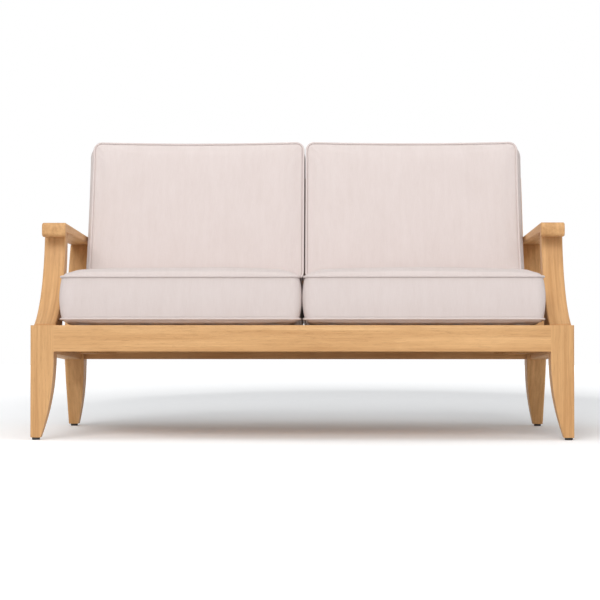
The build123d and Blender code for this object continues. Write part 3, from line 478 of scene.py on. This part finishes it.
def sewn_cushion(outline_at, corner, seams, crowns, bulges, draw_in, fullness, cells, seed):
    """The cover of a boxed cushion, in its plane: a lower and an upper panel, each
    domed, and the boxing between their rims. The upper panel has an uneven swell, and
    the lower one's dome is blunter.

    Returns the points, the faces, the cloth coordinates of each face corner, the numbers
    of the upper and the lower seam's points, and which points are the boxing's."""
    swell_waves, swell_height, blunter = (0.31, 0.23, 0.17, 0.41), 0.0016, 0.75
    across, along, rows = cells
    low, high = seams
    lower, s, t = panel_grid(outline_at(low), corner, across, along, draw_in)
    upper, _, _ = panel_grid(outline_at(high), corner, across, along, draw_in)
    swell = ripple(upper[..., 0], upper[..., 1], swell_waves, seed) * swell_height
    top = np.dstack([upper, high + (crowns[1] + swell) * dome(s, t, fullness)])
    bottom = np.dstack([lower, low - crowns[0] * dome(s, t, np.multiply(fullness, blunter))])
    rim = ring_order(across, along)
    rim_low, rim_high = lower.reshape(-1, 2)[rim], upper.reshape(-1, 2)[rim]
    wall = boxing_wall(rim_low, rim_high, seams, bulges, rows)
    points = np.concatenate([top.reshape(-1, 3), bottom.reshape(-1, 3), wall])
    panel = across * along
    quads = grid_faces(across, along)
    wall_rings = 2 * panel + np.arange(len(wall)).reshape(rows - 1, len(rim))
    rings = np.vstack([rim + panel, wall_rings, rim])
    after = np.roll(rings, -1, 1)
    band = np.stack([rings[:-1], after[:-1], after[1:], rings[1:]], -1).reshape(-1, 4)
    faces = np.concatenate([quads, quads[:, ::-1] + panel, band])
    band_map = wrapped_map(run_of((rim_low + rim_high) / 2), np.linspace(low, high, rows + 1))
    cloth_map = np.concatenate([points[faces[: 2 * len(quads)], :2],
                                band_map.reshape(-1, 4, 2)])
    return points, faces, cloth_map, (rim, rim + panel), np.arange(len(points)) >= 2 * panel


def mesh_object(name, points, faces, cloth_map):
    """An object with a smooth mesh and a UV map in metres of cloth."""
    mesh = bpy.data.meshes.new(name)
    mesh.from_pydata(np.asarray(points, float), [], np.asarray(faces).tolist())
    layer = mesh.uv_layers.new(name="cloth")
    layer.data.foreach_set("uv", np.asarray(cloth_map, np.float32).ravel())
    mesh.polygons.foreach_set("use_smooth", np.ones(len(mesh.polygons), bool))
    mesh.update()
    piece = bpy.data.objects.new(name, mesh)
    bpy.context.scene.collection.objects.link(piece)
    return piece


def set_points(piece, points):
    """Writes a mesh's points."""
    piece.data.vertices.foreach_set("co", np.asarray(points, np.float32).ravel())
    piece.data.update()


def read_points(mesh):
    """A mesh's points as an array."""
    points = np.empty(len(mesh.vertices) * 3, np.float32)
    mesh.vertices.foreach_get("co", points)
    return points.reshape(-1, 3).astype(float)


def inflated(piece, seam_points, reach):
    """Blows the cover up against its sewn seams in a short cloth simulation.

    Each point then keeps its move, shortened to reach tanh(move / reach)."""
    before = read_points(piece.data)
    last_frame = 20
    group = piece.vertex_groups.new(name="seam")
    group.add([int(n) for n in seam_points], 1.0, "REPLACE")
    cloth = piece.modifiers.new("filling", "CLOTH")
    settings = cloth.settings
    settings.quality = 4
    settings.mass = 0.3
    settings.tension_stiffness = 12.0
    settings.compression_stiffness = 12.0
    settings.shear_stiffness = 4.0
    settings.bending_stiffness = 0.3
    settings.use_pressure = True
    settings.uniform_pressure_force = 4.0
    settings.vertex_group_mass = "seam"
    settings.effector_weights.gravity = 0.0
    cloth.point_cache.frame_start = 1
    cloth.point_cache.frame_end = last_frame
    for number in range(1, last_frame + 1):
        bpy.context.scene.frame_set(number)
    shaped = piece.evaluated_get(bpy.context.evaluated_depsgraph_get())
    after = read_points(shaped.data)
    piece.modifiers.remove(cloth)
    piece.vertex_groups.remove(group)
    bpy.context.scene.frame_set(1)
    move = after - before
    length = np.maximum(np.linalg.norm(move, axis=1, keepdims=True), 1e-9)
    return before + move * (reach[:, None] * np.tanh(length / reach[:, None]) / length)


def puckered(points, rims, levels, seed):
    """Small gathers in the cloth beside the seams: dips that rise and fade with the
    distance d from the rim as exp(-d / width) (1 - exp(-d / hold)), and that follow an
    uneven wave along it. Points are taken some at a time, to keep the tables small."""
    depth, width, hold = 0.0011, 0.020, 0.004
    waves = (0.021, 0.034, 0.052, 0.13)
    at_a_time = 2000
    result = points.copy()
    for rim, level in zip(rims, levels):
        loop = points[rim]
        run = run_of(loop)[:-1]
        for start in range(0, len(points), at_a_time):
            some = points[start:start + at_a_time]
            gap = np.linalg.norm(some[:, None, :] - loop[None, :, :], axis=2)
            nearest = gap.argmin(1)
            distance = gap[np.arange(len(some)), nearest]
            along = run[nearest]
            wave = ripple(along, along * 0.3, waves, seed)
            fade = np.exp(-distance / width) * (1 - np.exp(-distance / hold))
            inwards = np.sign(level - some[:, 2])
            result[start:start + at_a_time, 2] += depth * wave * fade * inwards
    return result


def cloth_weave_group():
    """Plain weave with slubby yarns. Cloth is the place on the cloth in metres; yarns lie
    Pitch apart, and their colour and thickness wander along them."""
    group, given, out = new_group(
        "cloth weave",
        [("Cloth", "Vector"), ("Pitch", "Float"), ("Pale", "Color"), ("Deep", "Color")],
        [("Color", "Color"), ("Height", "Float")])
    across, along, _ = split(group, given["Cloth"])
    turn = calc(group, "DIVIDE", math.pi, given["Pitch"])
    warp = calc(group, "SINE", calc(group, "MULTIPLY", across, turn))
    weft = calc(group, "SINE", calc(group, "MULTIPLY", along, turn))
    crossing = calc(group, "MULTIPLY", warp, weft)

    def slubs(per_width, per_length, detail):
        """Noise with so many features a metre across the cloth and along it."""
        factors = (per_width, per_length, 1.0)
        return cloud(group, stretched(group, given["Cloth"], factors), detail)

    upright = slubs(640.0, 38.0, 3.0)
    level = slubs(46.0, 700.0, 3.0)
    broad = slubs(60.0, 9.0, 3.0)
    slow = slubs(9.0, 7.0, 2.0)
    mixed = calc(group, "MULTIPLY", span(group, slow, 0.3, 0.7), 0.20)
    for layer, share in ((broad, 0.30), (level, 0.16), (upright, 0.34)):
        mixed = calc(group, "MULTIPLY_ADD", span(group, layer, 0.3, 0.7), share, mixed)
    group.links.new(blended(group, mixed, given["Pale"], given["Deep"]), out["Color"])
    yarns = calc(group, "ADD", calc(group, "MULTIPLY", upright, 0.7),
                 calc(group, "MULTIPLY", level, 0.5))
    group.links.new(calc(group, "MULTIPLY_ADD", crossing, 0.35, yarns), out["Height"])
    return group


weave_group = cloth_weave_group()
cover_pale = (0.755, 0.672, 0.650, 1.0)
cover_deep = (0.680, 0.589, 0.560, 1.0)
yarn_pitch = 0.0011


def woven(name, turn=0.0, pale=cover_pale, deep=cover_deep):
    """The cover's cloth on a piece's own UV map, turned in its plane for bias strips."""
    material, tree, shader = new_material(name, 0.92, 0.25)
    shader.inputs["Sheen Weight"].default_value = 0.12
    shader.inputs["Sheen Roughness"].default_value = 0.5
    place = tree.nodes.new("ShaderNodeUVMap")
    place.uv_map = "cloth"
    turned = tree.nodes.new("ShaderNodeMapping")
    turned.inputs["Rotation"].default_value = (0.0, 0.0, turn)
    tree.links.new(place.outputs[0], turned.inputs["Vector"])
    weave = tree.nodes.new("ShaderNodeGroup")
    weave.node_tree = weave_group
    tree.links.new(turned.outputs[0], weave.inputs["Cloth"])
    for socket, value in (("Pitch", yarn_pitch), ("Pale", pale), ("Deep", deep)):
        weave.inputs[socket].default_value = value
    tree.links.new(weave.outputs["Color"], shader.inputs["Base Color"])
    bump(tree, shader, weave.outputs["Height"], 0.0005)
    return material


cover_cloth = woven("woven cover")
piping_cloth = woven("bias piping", turn=math.pi / 4)


def cord_round(loop, radius, facets=12):
    """A closed round cord along a flat loop of points, with a UV map along and round it.

    Ring by ring: loop + radius (outward cos a + level sin a)."""
    outward = np.column_stack([outward_of(loop[:, :2]), np.zeros(len(loop))])
    angle = np.linspace(0, math.tau, facets, endpoint=False)[None, :, None]
    points = loop[:, None, :] + radius * (np.cos(angle) * outward[:, None, :]
                                          + np.sin(angle) * np.array((0.0, 0.0, 1.0)))
    number = np.arange(len(loop) * facets).reshape(len(loop), facets)
    ahead, beside = np.roll(number, -1, 0), np.roll(number, -1, 1)
    faces = np.stack([number, ahead, np.roll(ahead, -1, 1), beside], -1).reshape(-1, 4)
    girth = np.linspace(0, math.tau * radius, facets + 1)
    cloth_map = wrapped_map(run_of(loop), girth).swapaxes(0, 1)
    return points.reshape(-1, 3), faces, cloth_map.reshape(-1, 4, 2)


def merged(parts):
    """Several (points, faces, cloth map) meshes as one."""
    shift = np.cumsum([0] + [len(points) for points, _, _ in parts[:-1]])
    return (np.concatenate([points for points, _, _ in parts]),
            np.concatenate([faces + first for (_, faces, _), first in zip(parts, shift)]),
            np.concatenate([cloth for _, _, cloth in parts]))


def cushion_foam():
    """Pale open-cell foam that has yellowed in patches."""
    material, tree, shader = new_material("cushion foam", 0.95, 0.2)
    open_cells = speckle(tree, 1100.0, 3.0, 0.7)
    patches = calc(tree, "MULTIPLY", speckle(tree, 14.0, 3.0), 0.4)
    mixed = calc(tree, "MULTIPLY_ADD", span(tree, open_cells, 0.3, 0.7), 0.6, patches)
    tree.links.new(blended(tree, mixed, (0.88, 0.84, 0.70, 1), (0.76, 0.70, 0.55, 1)),
                   shader.inputs["Base Color"])
    bump(tree, shader, open_cells, 0.0006)
    return material


foam_finish = cushion_foam()
wadding = 0.012
piping_radius = 0.0032
piping_stands_out = 0.0028


def foam_block(shape, seed):
    """The foam inside a cover: the same outline one layer of wadding further in, with
    flat sides and square edges. Its corners are rounded as the cover's are."""
    def inner_outline(level):
        """The cover's outline at a level, less the wadding on every side."""
        left, right, near, far = shape["outline_at"](level)
        return left + wadding, right - wadding, near + wadding, far - wadding

    block = dict(shape, outline_at=inner_outline, corner=shape["corner"] - wadding,
                 crowns=(0.0, 0.0), bulges=(0.0,) * 4, draw_in=(0.0,) * 4,
                 fullness=(1.0, 1.0), cells=(26, 26, 6))
    return sewn_cushion(**block, seed=seed)[:3]


def dress_cushion(kind, side, plane, shape, limits, seed):
    """Builds one cushion's cover, piping and foam in its plane, and puts them on its
    body. The left cushion is the right one's mirror image."""
    mirrored = -1.0 if side == "left" else 1.0
    levels = shape["seams"][::-1]
    points, faces, cloth_map, rims, in_boxing = sewn_cushion(**shape, seed=seed)
    cover = mesh_object(kind + "_woven_cover_" + side, points, faces, cloth_map)
    reach = np.where(in_boxing, limits["wall"], limits["panel"])
    shaped = inflated(cover, np.concatenate(rims), reach)
    shaped = puckered(shaped, rims, levels, seed)
    shaped[:, 2] = np.clip(shaped[:, 2], limits["floor"], limits["ceiling"](shaped[:, 1]))
    shaped[:, 0] = np.maximum(shaped[:, 0], limits["inner"])
    cords = []
    for rim, level in zip(rims, levels):
        loop = points[rim]
        loop[:, :2] += outward_of(loop[:, :2]) * piping_stands_out
        loop[:, 2] = level
        cords.append(cord_round(loop, piping_radius))
    cord_points, cord_faces, cord_map = merged(cords)
    block_points, block_faces, block_map = foam_block(shape, seed)
    for local in (shaped, cord_points, block_points):
        local[:, 0] *= mirrored
    set_points(cover, plane_point(*plane, shaped))
    piping = mesh_object(kind + "_piping_cord_" + side, plane_point(*plane, cord_points),
                         cord_faces, cord_map)
    block = mesh_object(kind + "_foam_block_" + side, plane_point(*plane, block_points),
                        block_faces, block_map)
    for piece, cloth, node, slot in ((cover, cover_cloth, "cover", "cover_fabric"),
                                     (piping, piping_cloth, "piping", "piping_fabric"),
                                     (block, foam_finish, "core", "foam")):
        if mirrored < 0:
            piece.data.flip_normals()
        piece.data.materials.append(cloth)
        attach(piece, kind + "_" + side)
        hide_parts(kind + "_" + node + "_" + side)
    finer = cover.modifiers.new("finer", "SUBSURF")
    finer.levels = finer.render_levels = 1


seat_far_seam = 0.6658


def seat_outline(level):
    """(left, right, near, far) of the right-hand seat cushion's seams, which is the same
    at every level."""
    return 0.0078, 0.6695, -0.0122, seat_far_seam


def seat_ceiling(run):
    """The highest level at each place: full in front, and pressed down by a smooth step
    where the back cushion stands."""
    full, pressed, press_start, press_run = 0.1705, 0.0083, 0.33, 0.10
    way = np.clip((run - press_start) / press_run, 0, 1)
    return full - pressed * way * way * (3 - 2 * way)


seat_shape = {"outline_at": seat_outline, "corner": 0.026, "seams": (0.0184, 0.1362),
              "crowns": (0.022, 0.0310), "bulges": (0.0074, 0.0075, 0.005, 0.0045),
              "draw_in": (0.0004, 0.002, 0.002, 0.002), "fullness": (0.18, 0.19),
              "cells": (78, 82, 14)}
seat_limits = {"wall": 0.0012, "panel": 0.0040, "floor": 0.0005, "ceiling": seat_ceiling,
               "inner": 0.0004}
for number, side in enumerate(("right", "left")):
    dress_cushion("seat_cushion", side, deck_plane, seat_shape, seat_limits, seed=11 + number)


# Back cushions: boxed like the seat cushions but softer, standing on them and leaning
# on the back slats, with the zip underneath.

back_foot, back_foot_height = 0.265, 0.340
back_plane = ((0.0, back_foot, back_foot_height),
              (0.0, math.sin(back_recline), math.cos(back_recline)),
              (0.0, -math.cos(back_recline), math.sin(back_recline)))
deck_height_at_back = 0.2861
seat_cushion_thickness = 0.1624
back_cushion_top = 0.889
back_seams = (0.0164, 0.1564)


def back_outline(level):
    """(left, right, near, far) of the right-hand back cushion's seams at a level. The
    near side is sheared so that it lies parallel to the seat."""
    seam_inset = 0.0068
    rest = deck_height_at_back + seat_cushion_thickness / math.cos(seat_slope)
    shear = math.cos(back_recline) * math.tan(seat_slope) - math.sin(back_recline)
    spread = math.cos(back_recline) + math.sin(back_recline) * math.tan(seat_slope)
    near = (rest - back_foot_height + level * shear) / spread + seam_inset
    far = ((back_cushion_top - back_foot_height - back_seams[1] * math.sin(back_recline))
           / math.cos(back_recline))
    return 0.0078, 0.6595, near, far


def back_ceiling(run):
    """The highest level at each place: the same all over."""
    return np.full_like(run, 0.1764)


back_shape = {"outline_at": back_outline, "corner": 0.022, "seams": back_seams,
              "crowns": (0.016, 0.017), "bulges": (0.0074, 0.0215, 0.0005, 0.0065),
              "draw_in": (0.0, 0.002, 0.001, 0.0050), "fullness": (0.25, 0.25),
              "cells": (78, 72, 16)}
back_limits = {"wall": 0.0010, "panel": 0.0035, "floor": 0.0005, "ceiling": back_ceiling,
               "inner": 0.0004}
for number, side in enumerate(("right", "left")):
    dress_cushion("back_cushion", side, back_plane, back_shape, back_limits, seed=31 + number)


# Zips: woven tape with two rows of moulded teeth, in the rear boxing of a seat cushion
# and underneath a back cushion, and a painted slider that runs on them with its pull tab.

def slab(top, bottom):
    """A closed mesh between two grids of points, with the plan as its cloth map."""
    across, along = top.shape[:2]
    count = across * along
    points = np.concatenate([top.reshape(-1, 3), bottom.reshape(-1, 3)])
    quads = grid_faces(across, along)
    rim = ring_order(across, along)
    ahead = np.roll(rim, -1)
    band = np.stack([rim + count, ahead + count, ahead, rim], -1)
    faces = np.concatenate([quads, quads[:, ::-1] + count, band])
    return points, faces, points[faces][..., :2]


def plate(outline, corner, low, high, ease, taper=0.0, cells=(9, 9)):
    """A thin plate with rounded corners and eased edges, that narrows along x.

    The edge drops by ease as ((e - level) / (1 - level))^2 where e, the larger of |s| and
    |t|, passes the level share; the width is multiplied by 1 - taper (s + 1) / 2."""
    level_share = 0.75
    plan, s, t = panel_grid(outline, corner, *cells, (0.0,) * 4)
    middle = (outline[2] + outline[3]) / 2
    plan[..., 1] = middle + (plan[..., 1] - middle) * (1 - taper * (s + 1) / 2)
    past_level = np.maximum(np.abs(s), np.abs(t)) - level_share
    drop = ease * np.clip(past_level / (1 - level_share), 0, 1) ** 2
    return slab(np.dstack([plan, high - drop]), np.dstack([plan, low + drop]))


def zip_teeth(half):
    """Two rows of teeth that mesh: each is a small block that is wider at its foot, and
    every second one is turned half round."""
    half_tooth, tooth_back, tooth_nose = 0.00055, -0.0024, 0.0009
    foot_level, head_level = 0.0001, 0.0018
    spacing, first_gap, last_gap = 0.00125, 0.0008, 0.0006
    foot = np.array([[(-half_tooth, tooth_back), (-half_tooth, tooth_nose)],
                     [(half_tooth, tooth_back), (half_tooth, tooth_nose)]])
    head = foot * (0.7, 0.88)
    points, faces, cloth_map = slab(np.dstack([head, np.full((2, 2), head_level)]),
                                    np.dstack([foot, np.full((2, 2), foot_level)]))
    places = np.arange(-half + first_gap, half - last_gap, spacing)
    turned = np.where(np.arange(len(places)) % 2, -1.0, 1.0)
    rows = points * np.stack([turned, turned, np.ones_like(turned)], -1)[:, None, :]
    rows[..., 0] += places[:, None]
    shift = np.arange(len(places))[:, None, None] * len(points)
    return (rows.reshape(-1, 3), (faces + shift).reshape(-1, 4),
            np.tile(cloth_map, (len(places), 1, 1)))


def zip_chain(half):
    """The tape, a thin plate, with the teeth along its middle; returns the mesh and the
    number of the tape's faces."""
    half_tape = 0.013
    tape = plate((-half, half, -half_tape, half_tape),
                 corner=0.002, low=-0.0008, high=0.0002, ease=0.0002, cells=(60, 9))
    return merged([tape, zip_teeth(half)]), len(tape[1])


def zip_slider(start):
    """The slider from its first edge on: two cheeks beside the teeth, a cap over them
    that narrows, a loop, and a pull tab that widens, with five ribs to grip."""
    length, half_width, cheek_place, half_cheek = 0.012, 0.0045, 0.0037, 0.0009
    tab_start, tab_end, half_tab = 0.006, 0.030, 0.003
    loop_start, loop_end, half_loop = 0.0045, 0.0075, 0.0014
    first_rib, past_last_rib, rib_pitch, rib_length, half_rib = (
        0.019, 0.0275, 0.002, 0.0009, 0.0021)
    cheeks = [plate((start, start + length, edge - half_cheek, edge + half_cheek),
                    corner=0.0004, low=0.0005, high=0.0024, ease=0.0002)
              for edge in (-cheek_place, cheek_place)]
    cap = plate((start, start + length, -half_width, half_width),
                corner=0.0018, low=0.0021, high=0.0041, ease=0.0005, taper=0.25)
    tab = plate((start + tab_start, start + tab_end, -half_tab, half_tab), corner=0.0016,
                low=0.0041, high=0.0051, ease=0.0003, taper=-0.15, cells=(15, 9))
    loop = plate((start + loop_start, start + loop_end, -half_loop, half_loop),
                 corner=0.0007, low=0.0040, high=0.0060, ease=0.0006)
    ribs = [plate((place, place + rib_length, -half_rib, half_rib),
                  corner=0.0003, low=0.0050, high=0.0054, ease=0.0001)
            for place in start + np.arange(first_rib, past_last_rib, rib_pitch)]
    return merged(cheeks + [cap, tab, loop] + ribs)


def zip_point(origin, out_axis, points, side):
    """Points given as (along, across, out) of a zip, in the room's axes."""
    along_axis = np.array((1.0, 0.0, 0.0))
    across_axis = np.cross(out_axis, along_axis)
    placed = (np.asarray(origin) + points[:, :1] * along_axis
              + points[:, 1:2] * across_axis + points[:, 2:3] * np.asarray(out_axis))
    if side == "left":
        placed[:, 0] *= -1
    return placed


def moulded_teeth():
    """Moulded plastic in the cover's colour, a little cloudy."""
    material, tree, shader = new_material("zip teeth", 0.4, 0.45)
    haze = speckle(tree, 900.0, 3.0)
    tree.links.new(blended(tree, haze, (0.60, 0.52, 0.475, 1), (0.48, 0.41, 0.37, 1)),
                   shader.inputs["Base Color"])
    bump(tree, shader, haze, 0.0001)
    return material


def painted_metal():
    """Paint in the cover's colour, worn through to grey metal in spots."""
    material, tree, shader = new_material("painted slider", 0.35, 0.5, 0.25)
    wear = speckle(tree, 420.0, 4.0, 0.7)
    tree.links.new(blended(tree, span(tree, wear, 0.52, 0.74),
                           (0.60, 0.51, 0.46, 1), (0.42, 0.40, 0.38, 1)),
                   shader.inputs["Base Color"])
    tree.links.new(span(tree, wear, 0.3, 0.7, 0.28, 0.5), shader.inputs["Roughness"])
    bump(tree, shader, wear, 0.0001)
    return material


tape_cloth = woven("zip tape", pale=(0.66, 0.575, 0.535, 1.0), deep=(0.55, 0.465, 0.425, 1.0))
teeth_finish = moulded_teeth()
slider_finish = painted_metal()


def fit_zip(kind, side, origin, out_axis, half):
    """A zip and its slider, closed at the left-hand end, in a plane on the boxing."""
    slider_gap = 0.004
    (points, faces, cloth_map), tape_faces = zip_chain(half)
    chain = mesh_object(kind + "_zip_chain_" + side,
                        zip_point(origin, out_axis, points, side), faces, cloth_map)
    points, faces, cloth_map = zip_slider(slider_gap - half)
    slider = mesh_object(kind + "_zip_pull_" + side,
                         zip_point(origin, out_axis, points, side), faces, cloth_map)
    for piece, body, node, slot, finishes in (
            (chain, "", "zip", "zip_tape", (tape_cloth, teeth_finish)),
            (slider, "_zip_slider", "zip_slider", "zip_metal", (slider_finish,))):
        if side == "left":
            piece.data.flip_normals()
        for finish in finishes:
            piece.data.materials.append(finish)
        piece.data.polygons.foreach_set("use_smooth",
                                        np.zeros(len(piece.data.polygons), bool))
        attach(piece, kind + "_" + side + body)
        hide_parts(kind + "_" + node + "_" + side)
    is_tooth = np.arange(len(chain.data.polygons)) >= tape_faces
    chain.data.polygons.foreach_set("material_index", is_tooth.astype(np.int32))


seat_zip_middle, seat_zip_level, seat_rear_bulge = (0.0088 + 0.661) / 2, 0.0749, 0.005
back_zip_middle, back_zip_level = (0.009 + 0.657) / 2, 0.0864
seat_zip_place = plane_point(
    *deck_plane, (seat_zip_middle, seat_far_seam + seat_rear_bulge, seat_zip_level))
back_zip_place = plane_point(
    *back_plane, (back_zip_middle, back_outline(back_zip_level)[2], back_zip_level))
under_back = (0.0, -math.sin(seat_slope), -math.cos(seat_slope))
for side in ("right", "left"):
    fit_zip("seat_cushion", side, seat_zip_place, deck_plane[1], half=0.2521)
    fit_zip("back_cushion", side, back_zip_place, under_back, half=0.25)


# Studio: a pale floor that keeps the shadow and has painted shade round the loveseat, a
# white surround, a broad lamp overhead, two soft banks in front and a screen on either
# side, and the camera at the height of the seat rails, 5.3 m in front of the front legs.

def seen_directly(tree):
    """1 on rays from the camera, also by way of a mirror or glass, and 0 on the rest."""
    ray = tree.nodes.new("ShaderNodeLightPath").outputs
    return calc(tree, "MAXIMUM", ray["Is Camera Ray"],
                calc(tree, "MAXIMUM", ray["Is Glossy Ray"], ray["Is Transmission Ray"]))


def floor_with_painted_shade():
    """Pale paper with a glow, seen directly, that grows in three steps with the distance from
    the shadow's middle, in units of an ellipse's two half widths: the weaker glow near the
    loveseat is painted shade round it."""
    middle_x, middle_y, half_across, half_along = 0.25, 1.7, 1.2, 2.2
    material, tree, shader = new_material("floor", 0.9, 0.1)
    shader.inputs["Base Color"].default_value = (0.930, 0.942, 0.956, 1.0)
    x, y, _ = split(tree, tree.nodes.new("ShaderNodeTexCoord").outputs["Object"])
    away = flat_length(
        tree, calc(tree, "DIVIDE", calc(tree, "SUBTRACT", x, middle_x), half_across),
        calc(tree, "DIVIDE", calc(tree, "SUBTRACT", y, middle_y), half_along))
    # The glow is weakest round the loveseat and grows away from it: painted shade on the floor
    # there, on top of the real shadow.
    glow_with_painted_shade = span(tree, away, 0.9, 1.5, 0.07, 0.30)
    for start, end, more in ((1.0, 1.08, 0.05), (1.5, 3.5, 0.30)):
        glow_with_painted_shade = calc(tree, "ADD", glow_with_painted_shade, span(tree, away, start, end, 0.0, more))
    glow = tree.nodes.new("ShaderNodeEmission")
    tree.links.new(calc(tree, "MULTIPLY", seen_directly(tree), glow_with_painted_shade),
                   glow.inputs["Strength"])
    lit_and_glowing = tree.nodes.new("ShaderNodeAddShader")
    tree.links.new(shader.outputs[0], lit_and_glowing.inputs[0])
    tree.links.new(glow.outputs[0], lit_and_glowing.inputs[1])
    tree.links.new(lit_and_glowing.outputs[0], tree.nodes["Material Output"].inputs["Surface"])
    return material


floor_mesh = bpy.data.meshes.new("floor")
floor_mesh.from_pydata([(-9, -7, 0), (9, -7, 0), (9, 11, 0), (-9, 11, 0)], [], [(0, 1, 2, 3)])
floor_mesh.materials.append(floor_with_painted_shade())
floor = bpy.data.objects.new("floor", floor_mesh)
bpy.context.scene.collection.objects.link(floor)

surround_light = 0.26
world = bpy.data.worlds.new("studio")
bpy.context.scene.world = world
world.use_nodes = True
sky = world.node_tree
sky.links.new(calc(sky, "MULTIPLY_ADD", seen_directly(sky), 1 - surround_light, surround_light),
              sky.nodes["Background"].inputs["Strength"])
sky.nodes["Background"].inputs["Color"].default_value = (1.0, 1.0, 1.0, 1.0)


def facing(lamp, place, aim):
    """Puts a lamp at a place, turned towards a point."""
    holder = bpy.data.objects.new(lamp.name, lamp)
    bpy.context.scene.collection.objects.link(holder)
    holder.location = place
    sight = np.asarray(aim, float) - np.asarray(place, float)
    turn = math.atan2(sight[0], -sight[1])
    tilt = math.atan2(math.hypot(sight[0], sight[1]), -sight[2])
    holder.rotation_euler = (tilt, 0.0, turn + math.pi)


overhead = bpy.data.lights.new("overhead", "AREA")
overhead.shape = "RECTANGLE"
overhead.size, overhead.size_y, overhead.energy = 4.0, 3.0, 43.0
facing(overhead, (-0.3, -0.6, 3.6), (0.0, 0.0, 0.3))

# Each bank or screen: its strength, the angle that it fills in degrees, and its place.
for name, energy, spread, place in (("front bank", 1.20, 30.0, (-0.736, -4.176, 2.65)),
                                    ("low bank", 0.44, 40.0, (-0.43, -4.87, 1.04)),
                                    ("left screen", 0.34, 60.0, (-4.48, -1.2, 1.87)),
                                    ("right screen", 0.56, 60.0, (4.1, -2.0, 1.87))):
    bank = bpy.data.lights.new(name, "SUN")
    bank.energy, bank.angle = energy, math.radians(spread)
    facing(bank, place, (0.0, 0.0, 0.0))

front_legs, eye_distance, eye_aside, eye_height = -0.45, 5.3, 0.077, 0.3028
look_up, look_aside = math.radians(0.904), math.radians(0.8846)
lens = bpy.data.cameras.new("camera")
lens.lens = 115.3
lens.sensor_width = 36.0
lens.clip_end = 60.0
camera = bpy.data.objects.new("camera", lens)
bpy.context.scene.collection.objects.link(camera)
camera.location = (eye_aside, front_legs - eye_distance, eye_height)
camera.rotation_euler = (math.pi / 2 + look_up, 0.0, look_aside)
bpy.context.scene.camera = camera
bpy.context.scene.view_settings.view_transform = "Standard"
